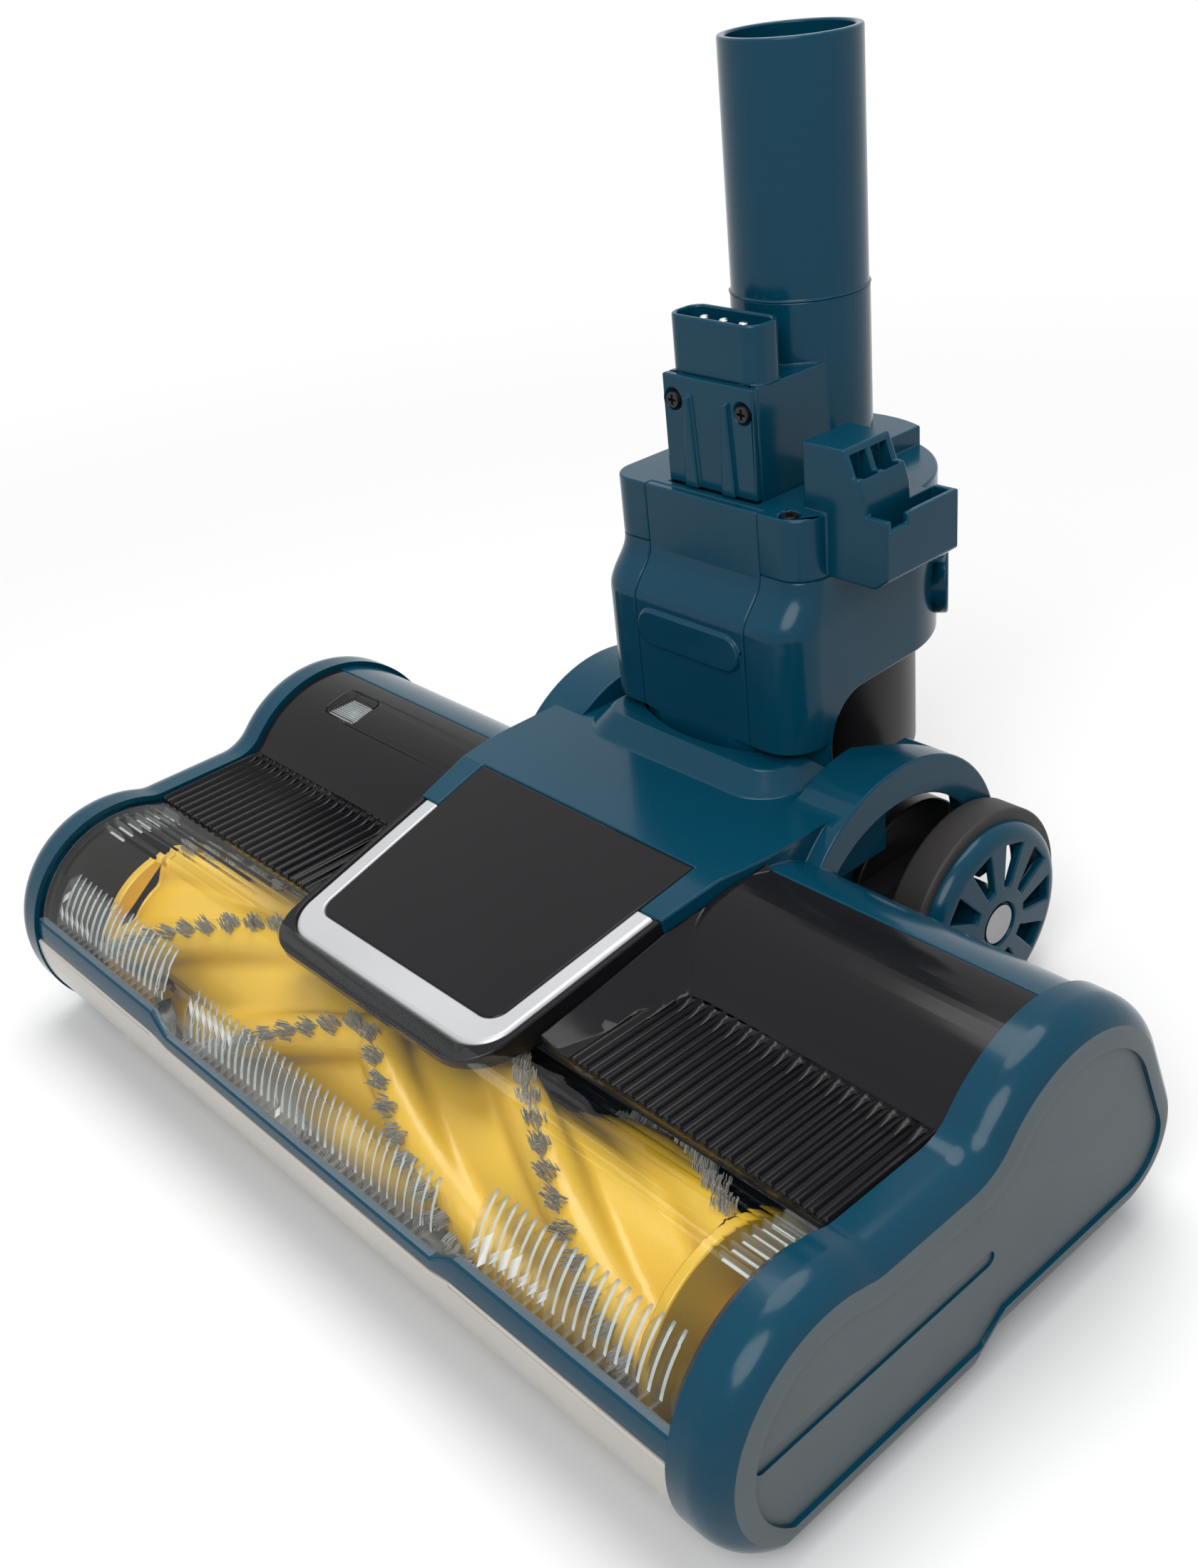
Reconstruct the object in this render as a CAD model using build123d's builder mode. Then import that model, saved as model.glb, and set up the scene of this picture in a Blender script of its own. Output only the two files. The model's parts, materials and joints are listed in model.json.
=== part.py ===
from build123d import *
from math import cos, pi, radians, sin, tan
import os

# Motorised floor head of a vacuum cleaner, neck upright, in millimetres.
# X runs across the head, the front is -Y, and the floor is Z = 0.

# Head seen from the side: two round lobes joined by a flat waist
HALF_WIDTH = 145.0
CAP_DEPTH = 14.0
FRONT_LOBE_Y = -81.0
FRONT_LOBE_Z = 31.5
FRONT_LOBE_R = 33.0
REAR_LOBE_Y = -3.0
REAR_LOBE_Z = 41.0
REAR_LOBE_R = 36.5
TAIL_LOBE_Y = 19.0
TAIL_LOBE_Z = 29.0
TAIL_LOBE_R = 20.5
WAIST_Z = 61.5
WAIST_FILLET = 12.0
UNDERSIDE_Z = 3.0
REAR_UNDERSIDE_Z = 8.5
UNDERSIDE_STEP_Y = -36.0
UNDERSIDE_STEP_LENGTH = 8.0

# Walls and clearances
WALL = 2.2
SKIN_DROP = 1.5
GAP = 0.3
RUN_FIT = 0.05
FIXED_FIT = 0.02

# End caps
CAP_EDGE_R = 9.0
CAP_POCKET_WALL = 3.0
CAP_FACE_INSET = 9.5
CAP_FACE_DEPTH = 1.2
GROOVE_Z = 35.0
GROOVE_FRONT_Y = -103.0
GROOVE_REAR_Y = -31.0
GROOVE_HEIGHT = 4.0
GROOVE_DEPTH = 0.7

# Top panels and their ribs
PANEL_FRONT_Y = -66.0
PANEL_REAR_Y = 2.5
RIB_REAR_Y = -31.0
RIB_PITCH = 3.7
RIB_WIDTH = 2.4
RIB_HEIGHT = 1.2
RIB_START_X = 53.0
RIB_SIDE_ANGLE = 65.0
LENS_INSET = 24.5
LENS_Y = -10.0
LENS_WIDTH = 15.0
LENS_LENGTH = 11.0
LENS_CORNER_R = 2.0
LENS_GAP = 0.15
BOARD_Z = 67.0
BOARD_THICK = 1.6
BOARD_WIDTH = 27.0
BOARD_LENGTH = 14.0
POST_R = 1.8
LED_R = 2.5
LED_HEIGHT = 4.0

# Flanks of the top panels, which slope up to the console
FLANK_FRONT = 8.4
FLANK_REAR = 20.5
FLANK_FRONT_DROP = 2.6
FLANK_REAR_DROP = 0.5

# Console with badge, trim and base, on a plane that slopes down to the front
CONSOLE_Z = 78.2
BADGE_REAR_Y = -11.3
BADGE_SLOPE = 12.35
BADGE_LENGTH = 62.6
BADGE_REAR_HALF = 40.7
BADGE_FRONT_HALF = 35.6
BADGE_THICK = 2.0
BADGE_CORNER_R = 5.0
TRIM_WIDTH = 5.6
TRIM_FRONT_WIDTH = 8.6
TRIM_THICK = 2.6
TRIM_REAR = 18.0
TRIM_LEDGE = 2.0
TRIM_EDGE = 1.0
LIP_WIDTH = 2.0
LIP_FRONT_WIDTH = 5.4
BASE_BOTTOM_Z = 58.6
CONSOLE_REAR_HALF = 52.0

# Collar, shoulders and parting line of the top cover
PARTING_Z = 46.0
COLLAR_HALF = 37.5
COLLAR_FRONT_Y = 19.5
COLLAR_HEIGHT = 5.4
COLLAR_TAPER = 48.0
COLLAR_CORNER_R = 13.0
SHOULDER_Y = 47.5
SHOULDER_Z = 44.0
SHOULDER_R = 41.0
SHOULDER_IN = 40.0
SHOULDER_OUT = 57.0
SHOULDER_BOTTOM_Z = 34.0
SHELF_WALL = 2.4
SEAT_GAP = 0.2
POCKET_R = 51.0
NECK_OPEN_HALF = 38.8
NECK_OPEN_Y = 48.0
ARCH_Y = 46.0
ARCH_Z = 39.0
ARCH_R = 35.5
ARCH_IN = 51.5

# Front window, strip and bumper, with a jog at each side of the middle
WINDOW_WALL = 2.0
WINDOW_SIDE_Z = 40.5
WINDOW_MID_Z = 36.5
STRIP_SIDE_Z = 34.5
STRIP_MID_Z = 33.0
BUMPER_BOTTOM_Z = 20.0
JOG_IN = 57.0
JOG_OUT = 65.0
BUMPER_PROUD = 1.0
BUMPER_WALL = 3.2
STRIP_PROUD = 0.4
SEAM_GAP = 0.15
COMB_PITCH = 3.1
COMB_WALL = 0.8
COMB_DEPTH = 2.4
COMB_SIDE_TOP_Z = 52.5
COMB_END = 6.0
COMB_MID_TOP_Z = 48.5
END_RIB_LENGTH = 8.0
END_RIB_COUNT = 7
END_RIB_STEP = 6.0
END_RIB_FROM = 62.0

# Brush roll
ROLL_Y = -77.0
ROLL_Z = 29.5
ROLL_END_GAP = 3.5
CORE_R = 17.0
FIN_R = 24.3
FIN_COUNT = 4
FIN_TWIST = 155.0
FIN_START = 16.6
FIN_NOSE_R = 6.5
FIN_ROOT_R = 4.0
FLANGE_R = 24.6
FLANGE_WALL = 3.0
TUFT_R = 28.2
TUFT_WIDTH = 3.6
TUFT_SEAT = 0.1
TUFT_LENGTH = 5.0
TUFTS_PER_HALF = 18
JOURNAL_R = 6.0
CHAMBER_R = 30.2
BEARING_R = 10.0
BEARING_WIDTH = 5.0
STUB_R = 5.0
END_WALL = 3.0

# Drive
MOTOR_Y = -3.0
MOTOR_Z = 40.0
MOTOR_R = 20.0
MOTOR_LENGTH = 60.0
MOTOR_NOSE_R = 7.0
MOTOR_EDGE = 2.0
SHAFT_R = 2.5
MOTOR_PULLEY_R = 5.5
BRUSH_PULLEY_R = 11.0
PULLEY_WIDTH = 7.0
PULLEY_FLANGE = 1.4
PULLEY_GAP = 2.0
BELT_THICK = 1.5
BELT_WIDTH = 3.8
PULLEY_LIP = 1.2
MOTOR_FACE_GAP = 2.0
SADDLE_WIDTH = 8.0
SADDLE_WALL = 2.2
SADDLE_FOOT_HALF = 16.0
SADDLE_INSET = 9.0
BELT_GAP = 0.15

# Suction duct
DUCT_Z = 29.5
DUCT_R = 15.5
DUCT_WALL = 2.0

# Rear wheels and the tilt pivot share one axis
PIVOT_Y = 69.5
WHEEL_R = 31.5
WHEEL_IN = 57.4
TYRE_WIDTH = 10.0
TYRE_THICK = 3.2
HUB_DOME = 5.0
HUB_FACE_FALL = 1.0
HUB_BOSS_R = 9.0
HUB_RECESS_R = 6.6
HUB_RECESS = 1.9
HUB_RIM = 3.0
HUB_WEB = 2.4
HUB_EDGE_R = 4.5
TYRE_EDGE_R = 1.0
SLOT_START_R = 11.0
SLOT_END_R = 23.0
SLOT_NARROW = 2.6
SLOT_WIDE = 7.6
AXLE_HEAD_R = 5.6
AXLE_HEAD = 1.2
HUB_SLOTS = 10
AXLE_R = 4.0
PIN_R = 5.0
ARM_IN = 43.0
ARM_OUT = 51.0
ARM_ROOT_R = 14.0
ARM_TIP_R = 13.0
PIN_LENGTH = 13.0

# Front rollers under the sole
ROLLER_INSET = 0.3
ROLLER_Y = -56.0
ROLLER_R = 5.5
ROLLER_WIDTH = 6.0
ROLLER_PIN_R = 1.5
EAR_WALL = 2.0
EAR_R = 4.0
ROLLER_GAP = 0.4
ROLLER_EDGE = 0.8
SOLE_FRONT_Y = -97.0
SOLE_REAR_Y = 20.0
SOLE_SCREW_Y = 5.0
SOLE_SCREW_IN = 35.0
SOLE_SCREW_INSET = 28.0
SCREW_R = 1.5
SOLE_HEAD_R = 3.0
SOLE_HEAD = 1.4
SOLE_SCREW_LENGTH = 5.4
DRIVE_R = 1.1
DRIVE_DEPTH = 0.8
SOLE_DROP = 1.8
MOUTH_RIM = 0.4
MOUTH_FRONT_Y = -100.0
MOUTH_REAR_Y = -47.0

# Tilting yoke
TUBE_Y = 79.5
DRUM_R = 26.0
DRUM_HALF = 42.6
DRUM_WALL = 2.4
DRUM_END_WALL = 4.6
DRUM_SLOT_HALF = 34.0
CRADLE_GAP = 0.5
CRADLE_REACH = 3.0
CRADLE_TOP_Z = 43.5
DUCT_OUT_R = 28.4
DUCT_LOW_Z = 62.0
CONE_LOW_Z = 48.0
CONE_R = 20.0
SLOT_FROM = 160.0
SLOT_TO = 270.0
DUCT_TOP_Z = 127.7

# Neck
NECK_TOP_Z = 131.5
DECK_TOP_Z = 147.9
LEG_BOTTOM_Z = 79.0
ARCH_TOP_Z = 97.0
LEG_REAR = 33.5
LEG_ARCH_R = 13.0
NECK_HALF = 34.5
NECK_FRONT = 41.0
NECK_CORNER_R = 8.0
SHELL_HALF = 36.0
SHELL_FRONT = 48.2
SHELL_CORNER_R = 11.0
OGEE_TOP_Z = 130.5
OGEE_LOW_Z = 117.5
OGEE_STEPS = 8
CAP_TURN = 37.0
CAP_Z = 110.5
CAP_R = 9.5
CAP_OUT_R = 37.4
CAP_ROUND = 0.9
NECK_BACK_R = 34.2
SWIVEL_TRIM_R = 50.0
SWIVEL_RISE = 0.6
FRONT_PANEL_HALF = 20.0
FRONT_PANEL_BACK = 38.5
PAD_WIDTH = 37.0
PAD_HEIGHT = 10.0
PAD_Z = 111.0
PAD_PROUD = 1.2

# Air tube and plug tower
TUBE_R = 17.5
TUBE_WALL = 2.0
TUBE_TOP_Z = 252.0
TUBE_STEP = 0.3
TUBE_STEP_RISE = 0.8
TOWER_FRONT = 33.6
TOWER_HALF = 15.5
PLATE_THICK = 2.2
PLATE_TOP_Z = 176.6
SOCKET_Y = 28.0
SOCKET_WIDTH = 30.0
SOCKET_LENGTH = 11.5
SOCKET_WALL = 1.4
SOCKET_DEPTH = 12.0
SOCKET_TOP_Z = 191.2
CONTACT_PITCH = 6.67
CONTACT_R = 1.2
SCREW_X = 12.0
SCREW_Z = 170.1
SCREW_HEAD_R = 2.5

# Deck with its lower terrace, and the latch arm at the right
DECK_BACK_R = 34.5
TERRACE_X = 13.0
TERRACE_DROP = 5.2
LATCH_OUT = 53.4
LATCH_FRONT = 31.8
LATCH_BACK = 4.5
LATCH_TOP_Z = 149.6
LATCH_LOW_Z = 134.5
LATCH_FOOT = 4.0
SLOT_IN = 46.8
SLOT_WALL = 1.8
SLOT_FLOOR_Z = 139.0
SLOT_NOTCH = 6.0
SLOT_NOTCH_DEPTH = 2.6
WEDGE_IN = 27.5
WEDGE_TOP_X = 40.5
WEDGE_TOP_Z = 165.0
WEDGE_STEP_Z = 158.5
WEDGE_STEP_IN = 43.0
WEDGE_STEP_OUT = 45.0
WEDGE_LOW_Z = 153.5
WEDGE_LENGTH = 17.0
WEDGE_POCKET = 7.0
WEDGE_WEB = 1.8
DECK_SCREW_X = 27.4
DECK_SCREW_Y = 42.5
DECK_SCREW_LENGTH = 10.0
SCREW_HEAD = 1.6
SCREW_SINK = 1.2
SCREW_DEPTH = 8.0
DART_X = 6.5
DART_FOOT = 4.6
DART_TIP = 1.6
DART_HEIGHT = 24.0
DART_PROUD = 1.2
CONTACT_DROP = 1.0

# Worked-out places
SEAM_X = HALF_WIDTH - CAP_DEPTH
END_IN = SEAM_X - END_WALL
EAR_HALF = ROLLER_WIDTH / 2 + ROLLER_GAP + EAR_WALL
ROLLER_X = END_IN - ROLLER_INSET - EAR_HALF
MOUTH_HALF = ROLLER_X - EAR_HALF - MOUTH_RIM
ROLL_HALF = MOUTH_HALF - ROLL_END_GAP
SOLE_SCREW_OUT = END_IN - SOLE_SCREW_INSET
LENS_X = LENS_INSET - SEAM_X
WHEEL_Z = WHEEL_R
PIVOT_AXIS = Axis((0, PIVOT_Y, WHEEL_Z), (1, 0, 0))
BADGE_PLANE = Plane(
    origin=(0, BADGE_REAR_Y, CONSOLE_Z),
    x_dir=(1, 0, 0),
    z_dir=(0, -sin(radians(BADGE_SLOPE)), cos(radians(BADGE_SLOPE))),
)
TRIM_REAR_Y = BADGE_REAR_Y - TRIM_REAR * cos(radians(BADGE_SLOPE))

UPWARD = (Align.CENTER, Align.CENTER, Align.MIN)
DOWNWARD = (Align.CENTER, Align.CENTER, Align.MAX)

os.makedirs("parts", exist_ok=True)


def keep(piece, node):
    """Label a finished piece and write its STEP file."""
    piece.part.label = node
    export_step(piece.part, f"parts/{node}.step")


def disc(y, z, radius):
    """A filled circle at a place in the side view."""
    with Locations((y, z)):
        Circle(radius)


def head_outline(x, grow=0.0):
    """Side outline of the head at a place along X, grown by a margin."""
    with BuildSketch(Plane.YZ.offset(x)) as outline:
        disc(REAR_LOBE_Y, REAR_LOBE_Z, REAR_LOBE_R + grow)
        disc(TAIL_LOBE_Y, TAIL_LOBE_Z, TAIL_LOBE_R + grow)
        make_hull()
        disc(FRONT_LOBE_Y, FRONT_LOBE_Z, FRONT_LOBE_R + grow)
        Polygon(
            (FRONT_LOBE_Y, UNDERSIDE_Z - grow),
            (FRONT_LOBE_Y, WAIST_Z + grow),
            (REAR_LOBE_Y, WAIST_Z + grow),
            (REAR_LOBE_Y, UNDERSIDE_Z - grow),
            align=None,
        )
        waist = outline.vertices().filter_by_position(Axis.Y, WAIST_Z + grow - 0.01, WAIST_Z + grow + 0.01)
        fillet(waist, WAIST_FILLET)
        step_end = UNDERSIDE_STEP_Y + UNDERSIDE_STEP_LENGTH
        below = -HALF_WIDTH
        Polygon(
            (FRONT_LOBE_Y - 2 * FRONT_LOBE_R, below),
            (FRONT_LOBE_Y - 2 * FRONT_LOBE_R, UNDERSIDE_Z - grow),
            (UNDERSIDE_STEP_Y, UNDERSIDE_Z - grow),
            (step_end, REAR_UNDERSIDE_Z - grow),
            (TAIL_LOBE_Y + 2 * TAIL_LOBE_R, REAR_UNDERSIDE_Z - grow),
            (TAIL_LOBE_Y + 2 * TAIL_LOBE_R, below),
            align=None,
            mode=Mode.SUBTRACT,
        )
    return outline.sketch


def rod(axis_y, axis_z, radius, x_from, x_to, mode=Mode.ADD):
    """A round bar along X."""
    with BuildSketch(Plane.YZ.offset(x_from), mode=Mode.PRIVATE) as section:
        disc(axis_y, axis_z, radius)
    extrude(section.sketch, amount=x_to - x_from, mode=mode)


def block(x_from, x_to, y_from, y_to, z_from, z_to, mode=Mode.ADD):
    """A plain box between two corners."""
    with Locations(((x_from + x_to) / 2, (y_from + y_to) / 2, (z_from + z_to) / 2)):
        Box(x_to - x_from, y_to - y_from, z_to - z_from, mode=mode)


def badge_half(down):
    """Half width of the badge at a distance down its slope."""
    return BADGE_REAR_HALF + (BADGE_FRONT_HALF - BADGE_REAR_HALF) * down / BADGE_LENGTH


def console_plan(side, rear, front, corner, depth=0.0):
    """Trapezium round the badge, wider by a side margin, from rear to front along the slope."""
    with BuildSketch(BADGE_PLANE.offset(-depth)) as plan:
        Polygon(
            (badge_half(rear) + side, -rear),
            (-badge_half(rear) - side, -rear),
            (-badge_half(front) - side, -front),
            (badge_half(front) + side, -front),
            align=None,
        )
        fillet(plan.vertices().group_by(Axis.Y)[0], corner)
    return plan.sketch


SKIN_IN = SKIN_DROP + WALL
FAR = 2 * HALF_WIDTH
SOLE_BOTTOM_Z = UNDERSIDE_Z - SOLE_DROP


def skin(x_from, x_to, drop=SKIN_DROP, wall=WALL):
    """Thin shell that follows the side outline, a drop below the end caps."""
    extrude(head_outline(x_from, -drop), amount=x_to - x_from)
    extrude(head_outline(x_from, -drop - wall), amount=x_to - x_from, mode=Mode.SUBTRACT)


def front_band(low_side, low_mid, high_side, high_mid, y_to):
    """Keep what lies in front of y_to, between two jogged lines seen from the front."""
    low = [
        (-SEAM_X, low_side), (-JOG_OUT, low_side), (-JOG_IN, low_mid),
        (JOG_IN, low_mid), (JOG_OUT, low_side), (SEAM_X, low_side),
    ]
    high = [
        (SEAM_X, high_side), (JOG_OUT, high_side), (JOG_IN, high_mid),
        (-JOG_IN, high_mid), (-JOG_OUT, high_side), (-SEAM_X, high_side),
    ]
    with BuildSketch(Plane.XZ.offset(-y_to), mode=Mode.PRIVATE) as band:
        Polygon(*low, *high, align=None)
    extrude(band.sketch, amount=FAR, mode=Mode.INTERSECT)


def cover_half(y):
    """Half width of the console seen from above, behind the trim."""
    share = (y - TRIM_REAR_Y) / (PANEL_REAR_Y - TRIM_REAR_Y)
    trim_half = badge_half(TRIM_REAR) + TRIM_WIDTH + LIP_WIDTH
    return trim_half + (CONSOLE_REAR_HALF - trim_half) * share


def console_shadow(margin):
    """The console seen from above, grown sideways by a margin."""
    nose = BADGE_LENGTH + TRIM_FRONT_WIDTH + LIP_FRONT_WIDTH
    nose_y = BADGE_REAR_Y - nose * cos(radians(BADGE_SLOPE))
    nose_half = badge_half(nose) + TRIM_WIDTH + LIP_WIDTH + margin
    trim_half = cover_half(TRIM_REAR_Y) + margin
    rEAR_HALF = CONSOLE_REAR_HALF + margin
    with BuildSketch() as shadow:
        Polygon(
            (rEAR_HALF, PANEL_REAR_Y), (-rEAR_HALF, PANEL_REAR_Y),
            (-trim_half, TRIM_REAR_Y), (-nose_half, nose_y),
            (nose_half, nose_y), (trim_half, TRIM_REAR_Y),
            align=None,
        )
    return shadow.sketch


# End caps: deep cups with a rounded rim and a recessed side face
with BuildPart() as right_end_cap:
    extrude(head_outline(SEAM_X), amount=CAP_DEPTH)
    fillet(right_end_cap.faces().sort_by(Axis.X)[-1].edges(), CAP_EDGE_R)
    pocket_depth = CAP_DEPTH - CAP_POCKET_WALL
    with BuildPart() as cap_pocket:
        extrude(head_outline(SEAM_X, -CAP_POCKET_WALL), amount=pocket_depth)
        fillet(cap_pocket.faces().sort_by(Axis.X)[-1].edges(), CAP_EDGE_R - CAP_POCKET_WALL)
    add(cap_pocket.part, mode=Mode.SUBTRACT)
    face_x = HALF_WIDTH - CAP_FACE_DEPTH
    extrude(head_outline(face_x, -CAP_FACE_INSET), amount=CAP_FACE_DEPTH, mode=Mode.SUBTRACT)
    with BuildSketch(Plane.YZ.offset(face_x - GROOVE_DEPTH)):
        with Locations(((GROOVE_FRONT_Y + GROOVE_REAR_Y) / 2, GROOVE_Z)):
            SlotOverall(GROOVE_REAR_Y - GROOVE_FRONT_Y, GROOVE_HEIGHT)
    extrude(amount=GROOVE_DEPTH, mode=Mode.SUBTRACT)
keep(right_end_cap, "right_end_cap")

with BuildPart() as left_end_cap:
    mirror(right_end_cap.part, about=Plane.YZ)
keep(left_end_cap, "left_end_cap")

# Top panels: the skin of waist and hump beside the console, ribbed on the waist
with BuildPart() as right_top_panel:
    skin(0, SEAM_X)
    block(0, SEAM_X, PANEL_FRONT_Y, PANEL_REAR_Y, PARTING_Z, FAR, mode=Mode.INTERSECT)
    rib_count = int((SEAM_X - RIB_START_X) / RIB_PITCH)
    rib_mid = SEAM_X - RIB_PITCH * rib_count / 2
    with BuildSketch(Plane.XZ.offset(-RIB_REAR_Y)):
        with Locations((rib_mid, WAIST_Z - SKIN_DROP)):
            with GridLocations(RIB_PITCH, 0, rib_count, 1):
                Trapezoid(RIB_WIDTH, RIB_HEIGHT, RIB_SIDE_ANGLE, align=(Align.CENTER, Align.MIN))
    extrude(amount=RIB_REAR_Y - PANEL_FRONT_Y)
    with BuildPart() as flank:
        for y, reach, drop in (
            (PANEL_FRONT_Y, FLANK_FRONT, FLANK_FRONT_DROP), (PANEL_REAR_Y, FLANK_REAR, FLANK_REAR_DROP),
        ):
            edge_x = cover_half(y)
            edge_z = min(CONSOLE_Z, CONSOLE_Z - (BADGE_REAR_Y - y) * tan(radians(BADGE_SLOPE))) - drop
            with BuildSketch(Plane.XZ.offset(-y)):
                Polygon(
                    (edge_x - TRIM_WIDTH, PARTING_Z), (edge_x + reach, PARTING_Z),
                    (edge_x + reach, WAIST_Z - SKIN_DROP), (edge_x, edge_z), (edge_x - TRIM_WIDTH, edge_z),
                    align=None,
                )
        loft(ruled=True)
        extrude(head_outline(0, -SKIN_IN), amount=FAR, mode=Mode.SUBTRACT)
    add(flank.part)
    extrude(console_shadow(GAP), amount=FAR, mode=Mode.SUBTRACT)
keep(right_top_panel, "right_top_panel")

# The left panel has a window for the indicator and two posts for its board
with BuildSketch() as lens_plan:
    with Locations((LENS_X, LENS_Y)):
        RectangleRounded(LENS_WIDTH, LENS_LENGTH, LENS_CORNER_R)
with BuildSketch() as lens_hole:
    with Locations((LENS_X, LENS_Y)):
        RectangleRounded(LENS_WIDTH + 2 * LENS_GAP, LENS_LENGTH + 2 * LENS_GAP, LENS_CORNER_R)
with BuildPart() as left_top_panel:
    mirror(right_top_panel.part, about=Plane.YZ)
    extrude(lens_hole.sketch, amount=FAR, mode=Mode.SUBTRACT)
    with BuildSketch(Plane.XY.offset(BOARD_Z + BOARD_THICK)):
        with Locations((LENS_X, LENS_Y)):
            with GridLocations(BOARD_WIDTH - 2 * POST_R, 0, 2, 1):
                Circle(POST_R)
    post_top = REAR_LOBE_Z + REAR_LOBE_R - SKIN_DROP - WALL / 2
    extrude(amount=post_top - BOARD_Z - BOARD_THICK - WALL / 2)
keep(left_top_panel, "left_top_panel")

with BuildPart() as indicator_lens:
    skin(LENS_X - LENS_WIDTH, LENS_X + LENS_WIDTH)
    extrude(lens_plan.sketch, amount=FAR, mode=Mode.INTERSECT)
    block(-FAR, FAR, -FAR, FAR, PARTING_Z, FAR, mode=Mode.INTERSECT)
keep(indicator_lens, "indicator_lens")

with BuildPart() as indicator_board:
    with Locations((LENS_X, LENS_Y, BOARD_Z)):
        Box(BOARD_WIDTH, BOARD_LENGTH, BOARD_THICK, align=UPWARD)
    with Locations((LENS_X, LENS_Y, BOARD_Z + BOARD_THICK)):
        Cylinder(LED_R, LED_HEIGHT, align=UPWARD)
    fillet(indicator_board.edges().filter_by(GeomType.CIRCLE).sort_by(Axis.Z)[-1], LED_R / 2)
keep(indicator_board, "indicator_board")

# Console: bare badge, trim round its front, and a hollow base with a nose
with BuildPart() as badge_panel:
    extrude(console_plan(0, 0, BADGE_LENGTH, BADGE_CORNER_R), amount=-BADGE_THICK)
keep(badge_panel, "badge_panel")

with BuildPart() as silver_trim:
    trim_front = BADGE_LENGTH + TRIM_FRONT_WIDTH
    trim_corner = BADGE_CORNER_R + TRIM_WIDTH
    extrude(console_plan(TRIM_WIDTH, TRIM_REAR, trim_front, trim_corner), amount=-TRIM_THICK)
    rim = silver_trim.faces().filter_by(BADGE_PLANE).sort_by(Axis.Z)[-1]
    chamfer(rim.edges().sort_by(Axis.Y)[:-1], TRIM_EDGE)
    extrude(console_plan(0, 0, BADGE_LENGTH, BADGE_CORNER_R), amount=-BADGE_THICK, mode=Mode.SUBTRACT)
    inner_front = BADGE_LENGTH - TRIM_LEDGE
    trim_opening = console_plan(-TRIM_LEDGE, 0, inner_front, BADGE_CORNER_R)
    extrude(trim_opening, amount=-TRIM_THICK, mode=Mode.SUBTRACT)
keep(silver_trim, "silver_trim")

with BuildPart() as console_base:
    base_side = TRIM_WIDTH + LIP_WIDTH
    base_front = BADGE_LENGTH + TRIM_FRONT_WIDTH + LIP_FRONT_WIDTH
    base_corner = BADGE_CORNER_R + TRIM_WIDTH + LIP_WIDTH
    extrude(console_plan(base_side, TRIM_REAR, base_front, base_corner), amount=-CONSOLE_Z / 2)
    extrude(console_plan(TRIM_WIDTH, 0, trim_front, trim_corner), amount=-TRIM_THICK, mode=Mode.SUBTRACT)
    hollow_front = base_front - LIP_FRONT_WIDTH
    hollow = console_plan(base_side - WALL, 0, hollow_front, trim_corner, TRIM_THICK + WALL)
    extrude(hollow, amount=-CONSOLE_Z / 2, mode=Mode.SUBTRACT)
    block(-FAR, FAR, -FAR, FAR, -FAR, BASE_BOTTOM_Z, mode=Mode.SUBTRACT)
keep(console_base, "console_base")

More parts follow.
